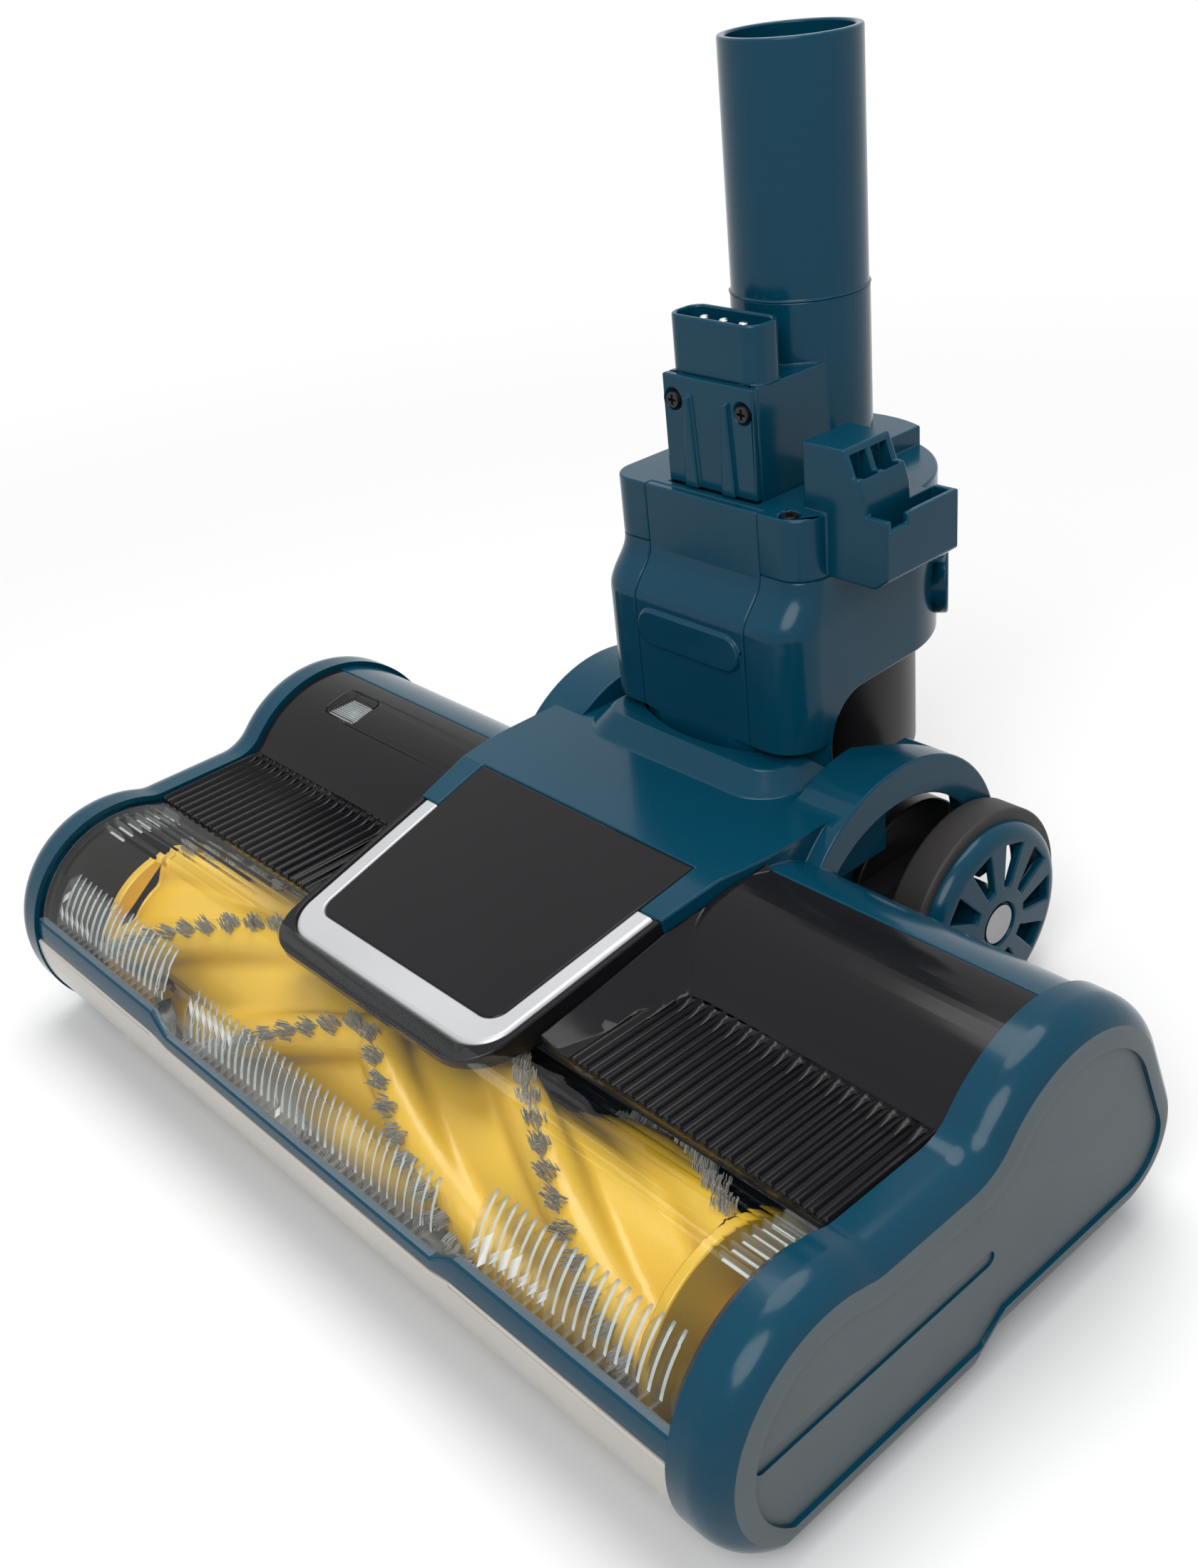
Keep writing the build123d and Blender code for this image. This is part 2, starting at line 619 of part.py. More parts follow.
# Top cover: one moulding with console top, collar, shoulders and rear strips
with BuildPart() as top_cover:
    skin(-SEAM_X, SEAM_X)
    block(-SEAM_X, SEAM_X, PANEL_REAR_Y, FAR, PARTING_Z, FAR, mode=Mode.INTERSECT)
    shelf_end = TUBE_Y - DUCT_OUT_R
    arm_z = CONSOLE_Z - (BADGE_REAR_Y - TRIM_REAR_Y) * tan(radians(BADGE_SLOPE))
    with BuildPart() as console_top:
        with BuildSketch(Plane.YZ.offset(-CONSOLE_REAR_HALF)):
            Polygon(
                (TRIM_REAR_Y, arm_z), (BADGE_REAR_Y, CONSOLE_Z), (shelf_end, CONSOLE_Z),
                (shelf_end, CONSOLE_Z - SHELF_WALL), (BADGE_REAR_Y, CONSOLE_Z - SHELF_WALL),
                (TRIM_REAR_Y, arm_z - SHELF_WALL),
                align=None,
            )
        extrude(amount=2 * CONSOLE_REAR_HALF)
        with BuildSketch() as cover_plan:
            Polygon(
                (cover_half(TRIM_REAR_Y), TRIM_REAR_Y), (CONSOLE_REAR_HALF, PANEL_REAR_Y),
                (CONSOLE_REAR_HALF, FAR), (-CONSOLE_REAR_HALF, FAR),
                (-CONSOLE_REAR_HALF, PANEL_REAR_Y), (-cover_half(TRIM_REAR_Y), TRIM_REAR_Y),
                align=None,
            )
        extrude(amount=FAR, mode=Mode.INTERSECT)
        badge_seat = console_plan(SEAT_GAP, -SEAT_GAP, BADGE_LENGTH, BADGE_CORNER_R)
        extrude(badge_seat, amount=-FAR, mode=Mode.SUBTRACT)
    with BuildPart() as console_sides:
        extrude(cover_plan.sketch, amount=FAR)
        inside_trim = cover_half(TRIM_REAR_Y) - WALL
        inside_rear = CONSOLE_REAR_HALF - WALL
        with BuildSketch() as side_hollow:
            Polygon(
                (inside_trim, TRIM_REAR_Y - WALL), (inside_rear, PANEL_REAR_Y), (inside_rear, FAR),
                (-inside_rear, FAR), (-inside_rear, PANEL_REAR_Y), (-inside_trim, TRIM_REAR_Y - WALL),
                align=None,
            )
        extrude(amount=FAR, mode=Mode.SUBTRACT)
        with BuildSketch(Plane.YZ.offset(-FAR)):
            Polygon(
                (TRIM_REAR_Y, arm_z), (BADGE_REAR_Y, CONSOLE_Z), (SHOULDER_Y, CONSOLE_Z),
                (SHOULDER_Y, BASE_BOTTOM_Z), (TRIM_REAR_Y, BASE_BOTTOM_Z),
                align=None,
            )
        extrude(amount=2 * FAR, mode=Mode.INTERSECT)
    with BuildPart() as collar:
        with BuildSketch(Plane.XY.offset(CONSOLE_Z)):
            with Locations((0, COLLAR_FRONT_Y)):
                RectangleRounded(
                    2 * COLLAR_HALF, FAR, COLLAR_CORNER_R, align=(Align.CENTER, Align.MIN)
                )
        extrude(amount=COLLAR_HEIGHT, taper=COLLAR_TAPER)
        block(-FAR, FAR, -FAR, TUBE_Y - DUCT_OUT_R, 0, FAR, mode=Mode.INTERSECT)
    with BuildPart() as shoulders:
        for side in (1, -1):
            rod(SHOULDER_Y, SHOULDER_Z, SHOULDER_R, side * SHOULDER_IN, side * SHOULDER_OUT)
            hollow_in = side * (SHOULDER_IN + WALL)
            hollow_out = side * (SHOULDER_OUT - WALL)
            rod(SHOULDER_Y, SHOULDER_Z, SHOULDER_R - WALL, hollow_in, hollow_out, Mode.SUBTRACT)
            rod(ARCH_Y, ARCH_Z, ARCH_R, side * ARCH_IN, side * FAR, Mode.SUBTRACT)
        block(-FAR, FAR, -FAR, FAR, -FAR, SHOULDER_BOTTOM_Z, mode=Mode.SUBTRACT)
        extrude(head_outline(-SEAM_X, -SKIN_DROP), amount=2 * SEAM_X, mode=Mode.SUBTRACT)
    add(console_top.part)
    add(console_sides.part)
    add(collar.part)
    add(shoulders.part)
    base_cut = console_plan(base_side + SEAT_GAP, TRIM_REAR - SEAT_GAP, base_front, base_corner)
    extrude(base_cut, amount=-FAR, mode=Mode.SUBTRACT)
    with Locations((0, TUBE_Y, CONSOLE_Z)):
        Cylinder(POCKET_R, FAR, align=UPWARD, mode=Mode.SUBTRACT)
    block(-NECK_OPEN_HALF, NECK_OPEN_HALF, NECK_OPEN_Y, FAR, 0, FAR, mode=Mode.SUBTRACT)
    cradle_out = DRUM_R + CRADLE_GAP + WALL
    rod(PIVOT_Y, WHEEL_Z, cradle_out + GAP, -ARM_IN, ARM_IN, Mode.SUBTRACT)
keep(top_cover, "top_cover")

sole_screw_z = REAR_UNDERSIDE_Z - SOLE_DROP
sole_screw_places = [
    (x, SOLE_SCREW_Y, sole_screw_z)
    for x in (-SOLE_SCREW_OUT, -SOLE_SCREW_IN, SOLE_SCREW_IN, SOLE_SCREW_OUT)
]

# Chassis: tub, end walls, brush chamber wall, arms to the pivot and a cradle for the drum
with BuildPart() as chassis:
    skin(-SEAM_X, SEAM_X)
    block(-SEAM_X, SEAM_X, PANEL_FRONT_Y, FAR, PARTING_Z, FAR, mode=Mode.SUBTRACT)
    block(-SEAM_X, SEAM_X, -FAR, ROLL_Y, BUMPER_BOTTOM_Z - SEAM_GAP, FAR, mode=Mode.SUBTRACT)
    block(-SEAM_X, SEAM_X, ROLL_Y, PANEL_FRONT_Y, PARTING_Z, FAR, mode=Mode.SUBTRACT)
    for side in (1, -1):
        extrude(head_outline(side * SEAM_X, -SKIN_IN), amount=-side * END_WALL)
    with BuildPart() as chamber_wall:
        rod(ROLL_Y, ROLL_Z, CHAMBER_R + WALL, -END_IN, END_IN)
        rod(ROLL_Y, ROLL_Z, CHAMBER_R, -END_IN, END_IN, Mode.SUBTRACT)
        block(-END_IN, END_IN, PANEL_FRONT_Y - WALL, FAR, 0, FAR, mode=Mode.INTERSECT)
        extrude(head_outline(-END_IN, -SKIN_IN), amount=2 * END_IN, mode=Mode.INTERSECT)
    add(chamber_wall.part)
    for side in (1, -1):
        with BuildSketch(Plane.YZ.offset(side * ARM_IN)) as arm:
            disc(TAIL_LOBE_Y, TAIL_LOBE_Z, ARM_ROOT_R)
            disc(PIVOT_Y, WHEEL_Z, ARM_TIP_R)
            make_hull()
        extrude(amount=side * (ARM_OUT - ARM_IN))
    with BuildPart() as cradle:
        rod(PIVOT_Y, WHEEL_Z, cradle_out, -ARM_IN, ARM_IN)
        rod(PIVOT_Y, WHEEL_Z, cradle_out - WALL, -ARM_IN, ARM_IN, Mode.SUBTRACT)
        block(-ARM_IN, ARM_IN, PIVOT_Y - CRADLE_REACH, FAR, 0, FAR, mode=Mode.SUBTRACT)
        block(-ARM_IN, ARM_IN, -FAR, FAR, CRADLE_TOP_Z, FAR, mode=Mode.SUBTRACT)
    add(cradle.part)
    block(-MOUTH_HALF, MOUTH_HALF, MOUTH_FRONT_Y, MOUTH_REAR_Y, -FAR, ROLL_Z - CORE_R, mode=Mode.SUBTRACT)
    with BuildSketch(Plane.XZ.offset(-ROLL_Y)):
        with Locations((0, DUCT_Z)):
            Circle(DUCT_R + FIXED_FIT)
    extrude(amount=ROLL_Y - PIVOT_Y, mode=Mode.SUBTRACT)
    rod(PIVOT_Y, WHEEL_Z, PIN_R + FIXED_FIT, -FAR, FAR, Mode.SUBTRACT)
    rod(ROLL_Y, ROLL_Z, BEARING_R + FIXED_FIT, -FAR, FAR, Mode.SUBTRACT)
    rod(MOTOR_Y, MOTOR_Z, MOTOR_NOSE_R + GAP, -FAR, -END_IN + END_WALL, Mode.SUBTRACT)
    roller_well = ROLLER_R + ROLLER_GAP
    for side in (1, -1):
        with Locations((side * ROLLER_X, ROLLER_Y, UNDERSIDE_Z)):
            Box(2 * EAR_HALF, 2 * roller_well, 4 * ROLLER_R, mode=Mode.SUBTRACT)
    with Locations(*sole_screw_places):
        Cylinder(SCREW_R + FIXED_FIT, FAR / 4, mode=Mode.SUBTRACT)
keep(chassis, "chassis")

# Sole plate: the frame round the suction mouth, with ears for the front rollers
with BuildPart() as sole_plate:
    step_end = UNDERSIDE_STEP_Y + UNDERSIDE_STEP_LENGTH
    with BuildSketch(Plane.YZ.offset(-END_IN)):
        Polygon(
            (SOLE_FRONT_Y, SOLE_BOTTOM_Z), (SOLE_FRONT_Y, UNDERSIDE_Z + SKIN_DROP),
            (UNDERSIDE_STEP_Y, UNDERSIDE_Z + SKIN_DROP), (step_end, REAR_UNDERSIDE_Z + SKIN_DROP),
            (SOLE_REAR_Y, REAR_UNDERSIDE_Z + SKIN_DROP), (SOLE_REAR_Y, REAR_UNDERSIDE_Z - SOLE_DROP),
            (step_end, REAR_UNDERSIDE_Z - SOLE_DROP), (UNDERSIDE_STEP_Y, SOLE_BOTTOM_Z),
            align=None,
        )
    extrude(amount=2 * END_IN)
    block(-MOUTH_HALF, MOUTH_HALF, -FAR, MOUTH_REAR_Y, -FAR, FAR, mode=Mode.SUBTRACT)
    for side in (1, -1):
        with BuildSketch(Plane.YZ.offset(side * (ROLLER_X - EAR_HALF))):
            disc(ROLLER_Y, ROLLER_R, EAR_R)
            with Locations((ROLLER_Y, SOLE_BOTTOM_Z)):
                Rectangle(2 * EAR_R, ROLLER_R - SOLE_BOTTOM_Z, align=(Align.CENTER, Align.MIN))
        extrude(amount=side * 2 * EAR_HALF)
        with Locations((side * ROLLER_X, ROLLER_Y, UNDERSIDE_Z)):
            Box(ROLLER_WIDTH + 2 * ROLLER_GAP, 2 * roller_well, 6 * ROLLER_R, mode=Mode.SUBTRACT)
    rod(ROLLER_Y, ROLLER_R, ROLLER_PIN_R + FIXED_FIT, -FAR, FAR, Mode.SUBTRACT)
    with Locations(*sole_screw_places):
        CounterBoreHole(SCREW_R + FIXED_FIT, SOLE_HEAD_R + GAP, SOLE_HEAD + GAP, mode=Mode.SUBTRACT)
keep(sole_plate, "sole_plate")

with BuildPart() as sole_screws:
    with Locations(*sole_screw_places):
        with Locations((0, 0, GAP)):
            Cylinder(SOLE_HEAD_R, SOLE_HEAD, align=UPWARD)
            Cylinder(SCREW_R, SOLE_SCREW_LENGTH, align=UPWARD)
            Cylinder(DRIVE_R, DRIVE_DEPTH, align=UPWARD, mode=Mode.SUBTRACT)
keep(sole_screws, "sole_screws")

for side, name in ((1, "right"), (-1, "left")):
    with BuildPart() as roller:
        roller_in = side * (ROLLER_X - ROLLER_WIDTH / 2)
        rod(ROLLER_Y, ROLLER_R, ROLLER_R, roller_in, roller_in + side * ROLLER_WIDTH)
        rims = roller.edges().filter_by(GeomType.CIRCLE)
        chamfer(rims, ROLLER_EDGE)
        rod(ROLLER_Y, ROLLER_R, ROLLER_PIN_R + RUN_FIT, -FAR, FAR, Mode.SUBTRACT)
    keep(roller, f"{name}_front_roller")

with BuildPart() as roller_pins:
    for side in (1, -1):
        rod(ROLLER_Y, ROLLER_R, ROLLER_PIN_R, side * (ROLLER_X - EAR_HALF), side * (ROLLER_X + EAR_HALF))
keep(roller_pins, "roller_pins")

# Front: clear window with a comb of ribs inside, strip and bumper
with BuildPart() as clear_window:
    skin(-SEAM_X, SEAM_X, SKIN_DROP, WINDOW_WALL)
    front_band(WINDOW_SIDE_Z, WINDOW_MID_Z, FAR, FAR, PANEL_FRONT_Y - GAP)
    with BuildPart() as comb:
        skin(-SEAM_X, SEAM_X, SKIN_DROP + WINDOW_WALL / 2, WINDOW_WALL / 2 + COMB_DEPTH)
        with BuildPart(mode=Mode.INTERSECT):
            mid_count = int(2 * (JOG_IN - COMB_PITCH) / COMB_PITCH)
            mid_height = COMB_MID_TOP_Z - WINDOW_MID_Z
            with Locations((0, FRONT_LOBE_Y, WINDOW_MID_Z)):
                with GridLocations(COMB_PITCH, 0, mid_count, 1):
                    Box(COMB_WALL, FAR, mid_height, align=(Align.CENTER, Align.MAX, Align.MIN))
            side_span = SEAM_X - COMB_END - JOG_OUT
            side_count = int(side_span / COMB_PITCH)
            side_height = COMB_SIDE_TOP_Z - WINDOW_SIDE_Z
            for side in (1, -1):
                with Locations((side * (JOG_OUT + side_span / 2), FRONT_LOBE_Y, WINDOW_SIDE_Z)):
                    with GridLocations(COMB_PITCH, 0, side_count, 1):
                        Box(COMB_WALL, FAR, side_height, align=(Align.CENTER, Align.MAX, Align.MIN))
    add(comb.part)
    rib_r = FRONT_LOBE_R - SKIN_DROP - WINDOW_WALL / 2
    for side in (1, -1):
        for count in range(END_RIB_COUNT):
            turn = END_RIB_FROM + count * END_RIB_STEP
            with Locations(Location((side * (END_IN - GAP), FRONT_LOBE_Y, FRONT_LOBE_Z), (turn, 0, 0))):
                with Locations((0, rib_r, 0)):
                    Box(
                        END_RIB_LENGTH, WINDOW_WALL / 2 + COMB_DEPTH, COMB_WALL,
                        align=(Align.MAX if side > 0 else Align.MIN, Align.MAX, Align.CENTER),
                    )
    nose_cut = console_plan(base_side + SEAT_GAP, 0, base_front + SEAT_GAP, base_corner)
    extrude(nose_cut, amount=-FAR, mode=Mode.SUBTRACT)
keep(clear_window, "clear_window")

with BuildPart() as front_strip:
    skin(-SEAM_X, SEAM_X, SKIN_DROP - STRIP_PROUD, WALL + STRIP_PROUD)
    front_band(STRIP_SIDE_Z, STRIP_MID_Z, WINDOW_SIDE_Z - SEAM_GAP, WINDOW_MID_Z - SEAM_GAP, FRONT_LOBE_Y)
keep(front_strip, "front_strip")

with BuildPart() as front_bumper:
    skin(-SEAM_X, SEAM_X, SKIN_DROP - BUMPER_PROUD, BUMPER_WALL)
    strip_low = STRIP_SIDE_Z - SEAM_GAP
    front_band(BUMPER_BOTTOM_Z, BUMPER_BOTTOM_Z, strip_low, STRIP_MID_Z - SEAM_GAP, FRONT_LOBE_Y)
keep(front_bumper, "front_bumper")

# Brush roll: a lobed core twisted as a chevron, with flanges, journals and a drive stub
fin_length = ROLL_HALF - FLANGE_WALL
with BuildSketch() as roll_section:
    Circle(CORE_R)
    with PolarLocations(FIN_R - FIN_NOSE_R, FIN_COUNT):
        Circle(FIN_NOSE_R)
    fillet(roll_section.vertices(), FIN_ROOT_R)
twisted_half = Solid.extrude_linear_with_rotation(
    roll_section.face(), (0, 0, 0), (0, 0, fin_length), FIN_TWIST
)
with BuildPart() as brush_core:
    add(twisted_half.moved(Location((0, ROLL_Y, ROLL_Z), (FIN_START, 0, 0)) * Location((0, 0, 0), (0, 90, 0))))
    mirror(about=Plane.YZ)
    for side in (1, -1):
        rod(ROLL_Y, ROLL_Z, FLANGE_R, side * fin_length, side * ROLL_HALF)
        rod(ROLL_Y, ROLL_Z, JOURNAL_R, side * ROLL_HALF, side * SEAM_X)
    rod(ROLL_Y, ROLL_Z, STUB_R, -SEAM_X, -SEAM_X - PULLEY_GAP - PULLEY_WIDTH)
keep(brush_core, "brush_core")

with BuildPart() as brush_bristles:
    tuft_pitch = fin_length / TUFTS_PER_HALF
    tufts = []
    for side in (1, -1):
        for row in range(FIN_COUNT):
            for step in range(TUFTS_PER_HALF):
                x = (step + 0.5) * tuft_pitch
                turn = FIN_START + row * 360 / FIN_COUNT + FIN_TWIST * x / fin_length
                about = Location((side * x, ROLL_Y, ROLL_Z), (turn, 0, 0))
                tufts.append(about * Location((0, FIN_R + TUFT_SEAT, 0)))
    with Locations(*tufts):
        Box(
            TUFT_LENGTH, TUFT_R - FIN_R - TUFT_SEAT, TUFT_WIDTH,
            align=(Align.CENTER, Align.MIN, Align.CENTER),
        )
keep(brush_bristles, "brush_bristles")

for side, name in ((1, "right"), (-1, "left")):
    with BuildPart() as bearing:
        rod(ROLL_Y, ROLL_Z, BEARING_R, side * (SEAM_X - BEARING_WIDTH), side * SEAM_X)
        rod(ROLL_Y, ROLL_Z, JOURNAL_R + RUN_FIT, -FAR, FAR, Mode.SUBTRACT)
    keep(bearing, f"brush_bearing_{name}")


def pulley(axis_y, axis_z, radius, bore):
    """Flanged belt pulley in the left end cap."""
    x_in = -SEAM_X - PULLEY_GAP
    x_out = x_in - PULLEY_WIDTH
    rod(axis_y, axis_z, radius + PULLEY_LIP, x_in, x_in - PULLEY_FLANGE)
    rod(axis_y, axis_z, radius, x_in, x_out)
    rod(axis_y, axis_z, radius + PULLEY_LIP, x_out + PULLEY_FLANGE, x_out)
    rod(axis_y, axis_z, bore, x_in, x_out, Mode.SUBTRACT)


# Drive: motor on a saddle, two pulleys and a flat belt
with BuildPart() as brush_pulley:
    pulley(ROLL_Y, ROLL_Z, BRUSH_PULLEY_R, STUB_R + FIXED_FIT)
keep(brush_pulley, "brush_pulley")

with BuildPart() as motor_pulley:
    pulley(MOTOR_Y, MOTOR_Z, MOTOR_PULLEY_R, SHAFT_R + FIXED_FIT)
keep(motor_pulley, "motor_pulley")

motor_face = MOTOR_FACE_GAP - END_IN
motor_rear = motor_face + MOTOR_LENGTH
with BuildPart() as drive_motor:
    rod(MOTOR_Y, MOTOR_Z, MOTOR_R, motor_face, motor_rear)
    chamfer(drive_motor.edges().filter_by(GeomType.CIRCLE), MOTOR_EDGE)
    rod(MOTOR_Y, MOTOR_Z, MOTOR_NOSE_R, motor_face, -SEAM_X)
    rod(MOTOR_Y, MOTOR_Z, SHAFT_R + RUN_FIT, -FAR, 0, Mode.SUBTRACT)
keep(drive_motor, "drive_motor")

with BuildPart() as motor_shaft:
    rod(MOTOR_Y, MOTOR_Z, SHAFT_R, motor_rear, -SEAM_X - PULLEY_GAP - PULLEY_WIDTH)
keep(motor_shaft, "motor_shaft")

with BuildPart() as motor_saddle:
    floor_z = REAR_UNDERSIDE_Z + SKIN_IN
    for x in (motor_face + SADDLE_INSET, motor_rear - SADDLE_INSET - SADDLE_WIDTH):
        with BuildSketch(Plane.YZ.offset(x)):
            disc(MOTOR_Y, MOTOR_Z, MOTOR_R + SADDLE_WALL)
            with Locations((MOTOR_Y, floor_z)):
                Rectangle(2 * SADDLE_FOOT_HALF, MOTOR_Z - floor_z, align=(Align.CENTER, Align.MIN))
            with Locations((MOTOR_Y, MOTOR_Z)):
                Circle(MOTOR_R + FIXED_FIT, mode=Mode.SUBTRACT)
        extrude(amount=SADDLE_WIDTH)
keep(motor_saddle, "motor_saddle")


def belt_loop(margin, x):
    """Outline of the belt at a margin from both pulleys."""
    with BuildSketch(Plane.YZ.offset(x)) as loop:
        disc(ROLL_Y, ROLL_Z, BRUSH_PULLEY_R + margin)
        disc(MOTOR_Y, MOTOR_Z, MOTOR_PULLEY_R + margin)
        make_hull()
    return loop.sketch


with BuildPart() as drive_belt:
    belt_x = -SEAM_X - PULLEY_GAP - (PULLEY_WIDTH + BELT_WIDTH) / 2
    extrude(belt_loop(BELT_GAP + BELT_THICK, belt_x), amount=BELT_WIDTH)
    extrude(belt_loop(BELT_GAP, belt_x), amount=BELT_WIDTH, mode=Mode.SUBTRACT)
keep(drive_belt, "drive_belt")

# Suction duct from the brush chamber to the cradle of the drum
with BuildPart() as suction_duct:
    with BuildSketch(Plane.XZ.offset(-ROLL_Y)):
        with Locations((0, DUCT_Z)):
            Circle(DUCT_R)
            Circle(DUCT_R - DUCT_WALL, mode=Mode.SUBTRACT)
    extrude(amount=ROLL_Y - PIVOT_Y)
    rod(ROLL_Y, ROLL_Z, CHAMBER_R, -FAR, FAR, Mode.SUBTRACT)
    rod(PIVOT_Y, WHEEL_Z, DRUM_R + CRADLE_GAP, -FAR, FAR, Mode.SUBTRACT)
keep(suction_duct, "suction_duct")

# Rear wheels on stepped axles that also carry the tilting drum
WHEEL_PLANE = Plane(origin=(0, PIVOT_Y, WHEEL_Z), x_dir=(1, 0, 0), z_dir=(0, -1, 0))
tyre_out = WHEEL_IN + TYRE_WIDTH
seat_r = WHEEL_R - TYRE_THICK
hub_out = tyre_out + HUB_DOME
pin_in = ARM_OUT - PIN_LENGTH
with BuildPart() as right_wheel_tyre:
    with BuildSketch(WHEEL_PLANE) as tyre_section:
        with Locations((WHEEL_IN, seat_r)):
            Rectangle(TYRE_WIDTH, TYRE_THICK, align=(Align.MIN, Align.MIN))
        fillet(tyre_section.vertices().group_by(Axis.Y)[-1], TYRE_EDGE_R)
    revolve(axis=PIVOT_AXIS)
keep(right_wheel_tyre, "right_wheel_tyre")

with BuildPart() as right_wheel_hub:
    with BuildSketch(WHEEL_PLANE) as hub_section:
        Polygon(
            (WHEEL_IN, AXLE_R + RUN_FIT), (hub_out - HUB_RECESS, AXLE_R + RUN_FIT),
            (hub_out - HUB_RECESS, HUB_RECESS_R), (hub_out, HUB_RECESS_R),
            (hub_out - HUB_FACE_FALL, seat_r - FIXED_FIT), (WHEEL_IN, seat_r - FIXED_FIT),
            (WHEEL_IN, seat_r - HUB_RIM), (tyre_out, seat_r - HUB_RIM),
            (hub_out - HUB_FACE_FALL - HUB_WEB, seat_r - HUB_RIM - HUB_WEB),
            (hub_out - HUB_WEB, HUB_BOSS_R), (WHEEL_IN, HUB_BOSS_R),
            align=None,
        )
        edge = hub_section.vertices().group_by(Axis.Y)[-1].sort_by(Axis.X)[-1]
        fillet(edge, HUB_EDGE_R)
    revolve(axis=PIVOT_AXIS)
    with BuildSketch(Plane.YZ.offset(WHEEL_IN)):
        with Locations((PIVOT_Y, WHEEL_Z)):
            with PolarLocations(0, HUB_SLOTS):
                Polygon(
                    (SLOT_START_R, -SLOT_NARROW / 2), (SLOT_END_R, -SLOT_WIDE / 2),
                    (SLOT_END_R, SLOT_WIDE / 2), (SLOT_START_R, SLOT_NARROW / 2),
                    align=None,
                )
    extrude(amount=FAR, mode=Mode.SUBTRACT)
keep(right_wheel_hub, "right_wheel_hub")

with BuildPart() as right_axle:
    rod(PIVOT_Y, WHEEL_Z, PIN_R, pin_in, ARM_OUT)
    rod(PIVOT_Y, WHEEL_Z, AXLE_R, ARM_OUT, hub_out - HUB_RECESS + GAP)
    rod(PIVOT_Y, WHEEL_Z, AXLE_HEAD_R, hub_out - HUB_RECESS + GAP, hub_out - HUB_RECESS + GAP + AXLE_HEAD)
keep(right_axle, "right_axle")

for piece, name in (
    (right_wheel_tyre, "left_wheel_tyre"), (right_wheel_hub, "left_wheel_hub"), (right_axle, "left_axle"),
):
    with BuildPart() as left_piece:
        mirror(piece.part, about=Plane.YZ)
    keep(left_piece, name)

# Tilting yoke: a hollow drum on the axles that leads up into a round duct
with BuildPart() as tilt_yoke:
    rod(PIVOT_Y, WHEEL_Z, DRUM_R, -DRUM_HALF, DRUM_HALF)
    with BuildSketch(Plane.XY.offset(CONE_LOW_Z)):
        with Locations((0, PIVOT_Y)):
            Circle(CONE_R)
    with BuildSketch(Plane.XY.offset(DUCT_LOW_Z)):
        with Locations((0, TUBE_Y)):
            Circle(DUCT_OUT_R)
    loft(ruled=True)
    with Locations((0, TUBE_Y, DUCT_LOW_Z)):
        Cylinder(DUCT_OUT_R, DUCT_TOP_Z - DUCT_LOW_Z, align=UPWARD)
    hollow_half = DRUM_HALF - DRUM_END_WALL
    rod(PIVOT_Y, WHEEL_Z, DRUM_R - DRUM_WALL, -hollow_half, hollow_half, Mode.SUBTRACT)
    with BuildSketch(Plane.XY.offset(CONE_LOW_Z)):
        with Locations((0, PIVOT_Y)):
            Circle(CONE_R - DRUM_WALL)
    with BuildSketch(Plane.XY.offset(DUCT_LOW_Z)):
        with Locations((0, TUBE_Y)):
            Circle(DUCT_OUT_R - DRUM_WALL)
    loft(ruled=True, mode=Mode.SUBTRACT)
    with Locations((0, TUBE_Y, DUCT_LOW_Z)):
        Cylinder(
            DUCT_OUT_R - DRUM_WALL, DUCT_TOP_Z - DUCT_LOW_Z,
            align=UPWARD, mode=Mode.SUBTRACT,
        )
    mid = (SLOT_FROM + SLOT_TO) / 2
    with BuildSketch(Plane.YZ.offset(-DRUM_SLOT_HALF)):
        with Locations((PIVOT_Y, WHEEL_Z)):
            Polygon(
                (0, 0),
                (2 * DRUM_R * cos(radians(SLOT_FROM)), 2 * DRUM_R * sin(radians(SLOT_FROM))),
                (2 * DRUM_R * cos(radians(mid)), 2 * DRUM_R * sin(radians(mid))),
                (2 * DRUM_R * cos(radians(SLOT_TO)), 2 * DRUM_R * sin(radians(SLOT_TO))),
                align=None,
            )
    extrude(amount=2 * DRUM_SLOT_HALF, mode=Mode.SUBTRACT)
    rod(PIVOT_Y, WHEEL_Z, PIN_R + RUN_FIT, -FAR, FAR, Mode.SUBTRACT)
keep(tilt_yoke, "tilt_yoke")


def neck_outline(z, front, half, corner, back):
    """Neck seen from above: two front corners drawn round to a circle about the tube."""
    with BuildSketch(Plane.XY.offset(z)) as outline:
        for side in (1, -1):
            with Locations((side * (half - corner), TUBE_Y - front + corner)):
                Circle(corner)
        with Locations((0, TUBE_Y)):
            Circle(back)
        make_hull()
    return outline.sketch


def shell_section(share):
    """Neck outline between the wide lower shell (0) and the narrow deck (1)."""
    return (
        SHELL_FRONT + (NECK_FRONT - SHELL_FRONT) * share,
        SHELL_HALF + (NECK_HALF - SHELL_HALF) * share,
        SHELL_CORNER_R + (NECK_CORNER_R - SHELL_CORNER_R) * share,
        NECK_BACK_R,
    )


def tube_column(radius, z_from, z_to, mode=Mode.ADD):
    """A round column about the tube axis."""
    with Locations((0, TUBE_Y, z_from)):
        Cylinder(radius, z_to - z_from, align=UPWARD, mode=mode)


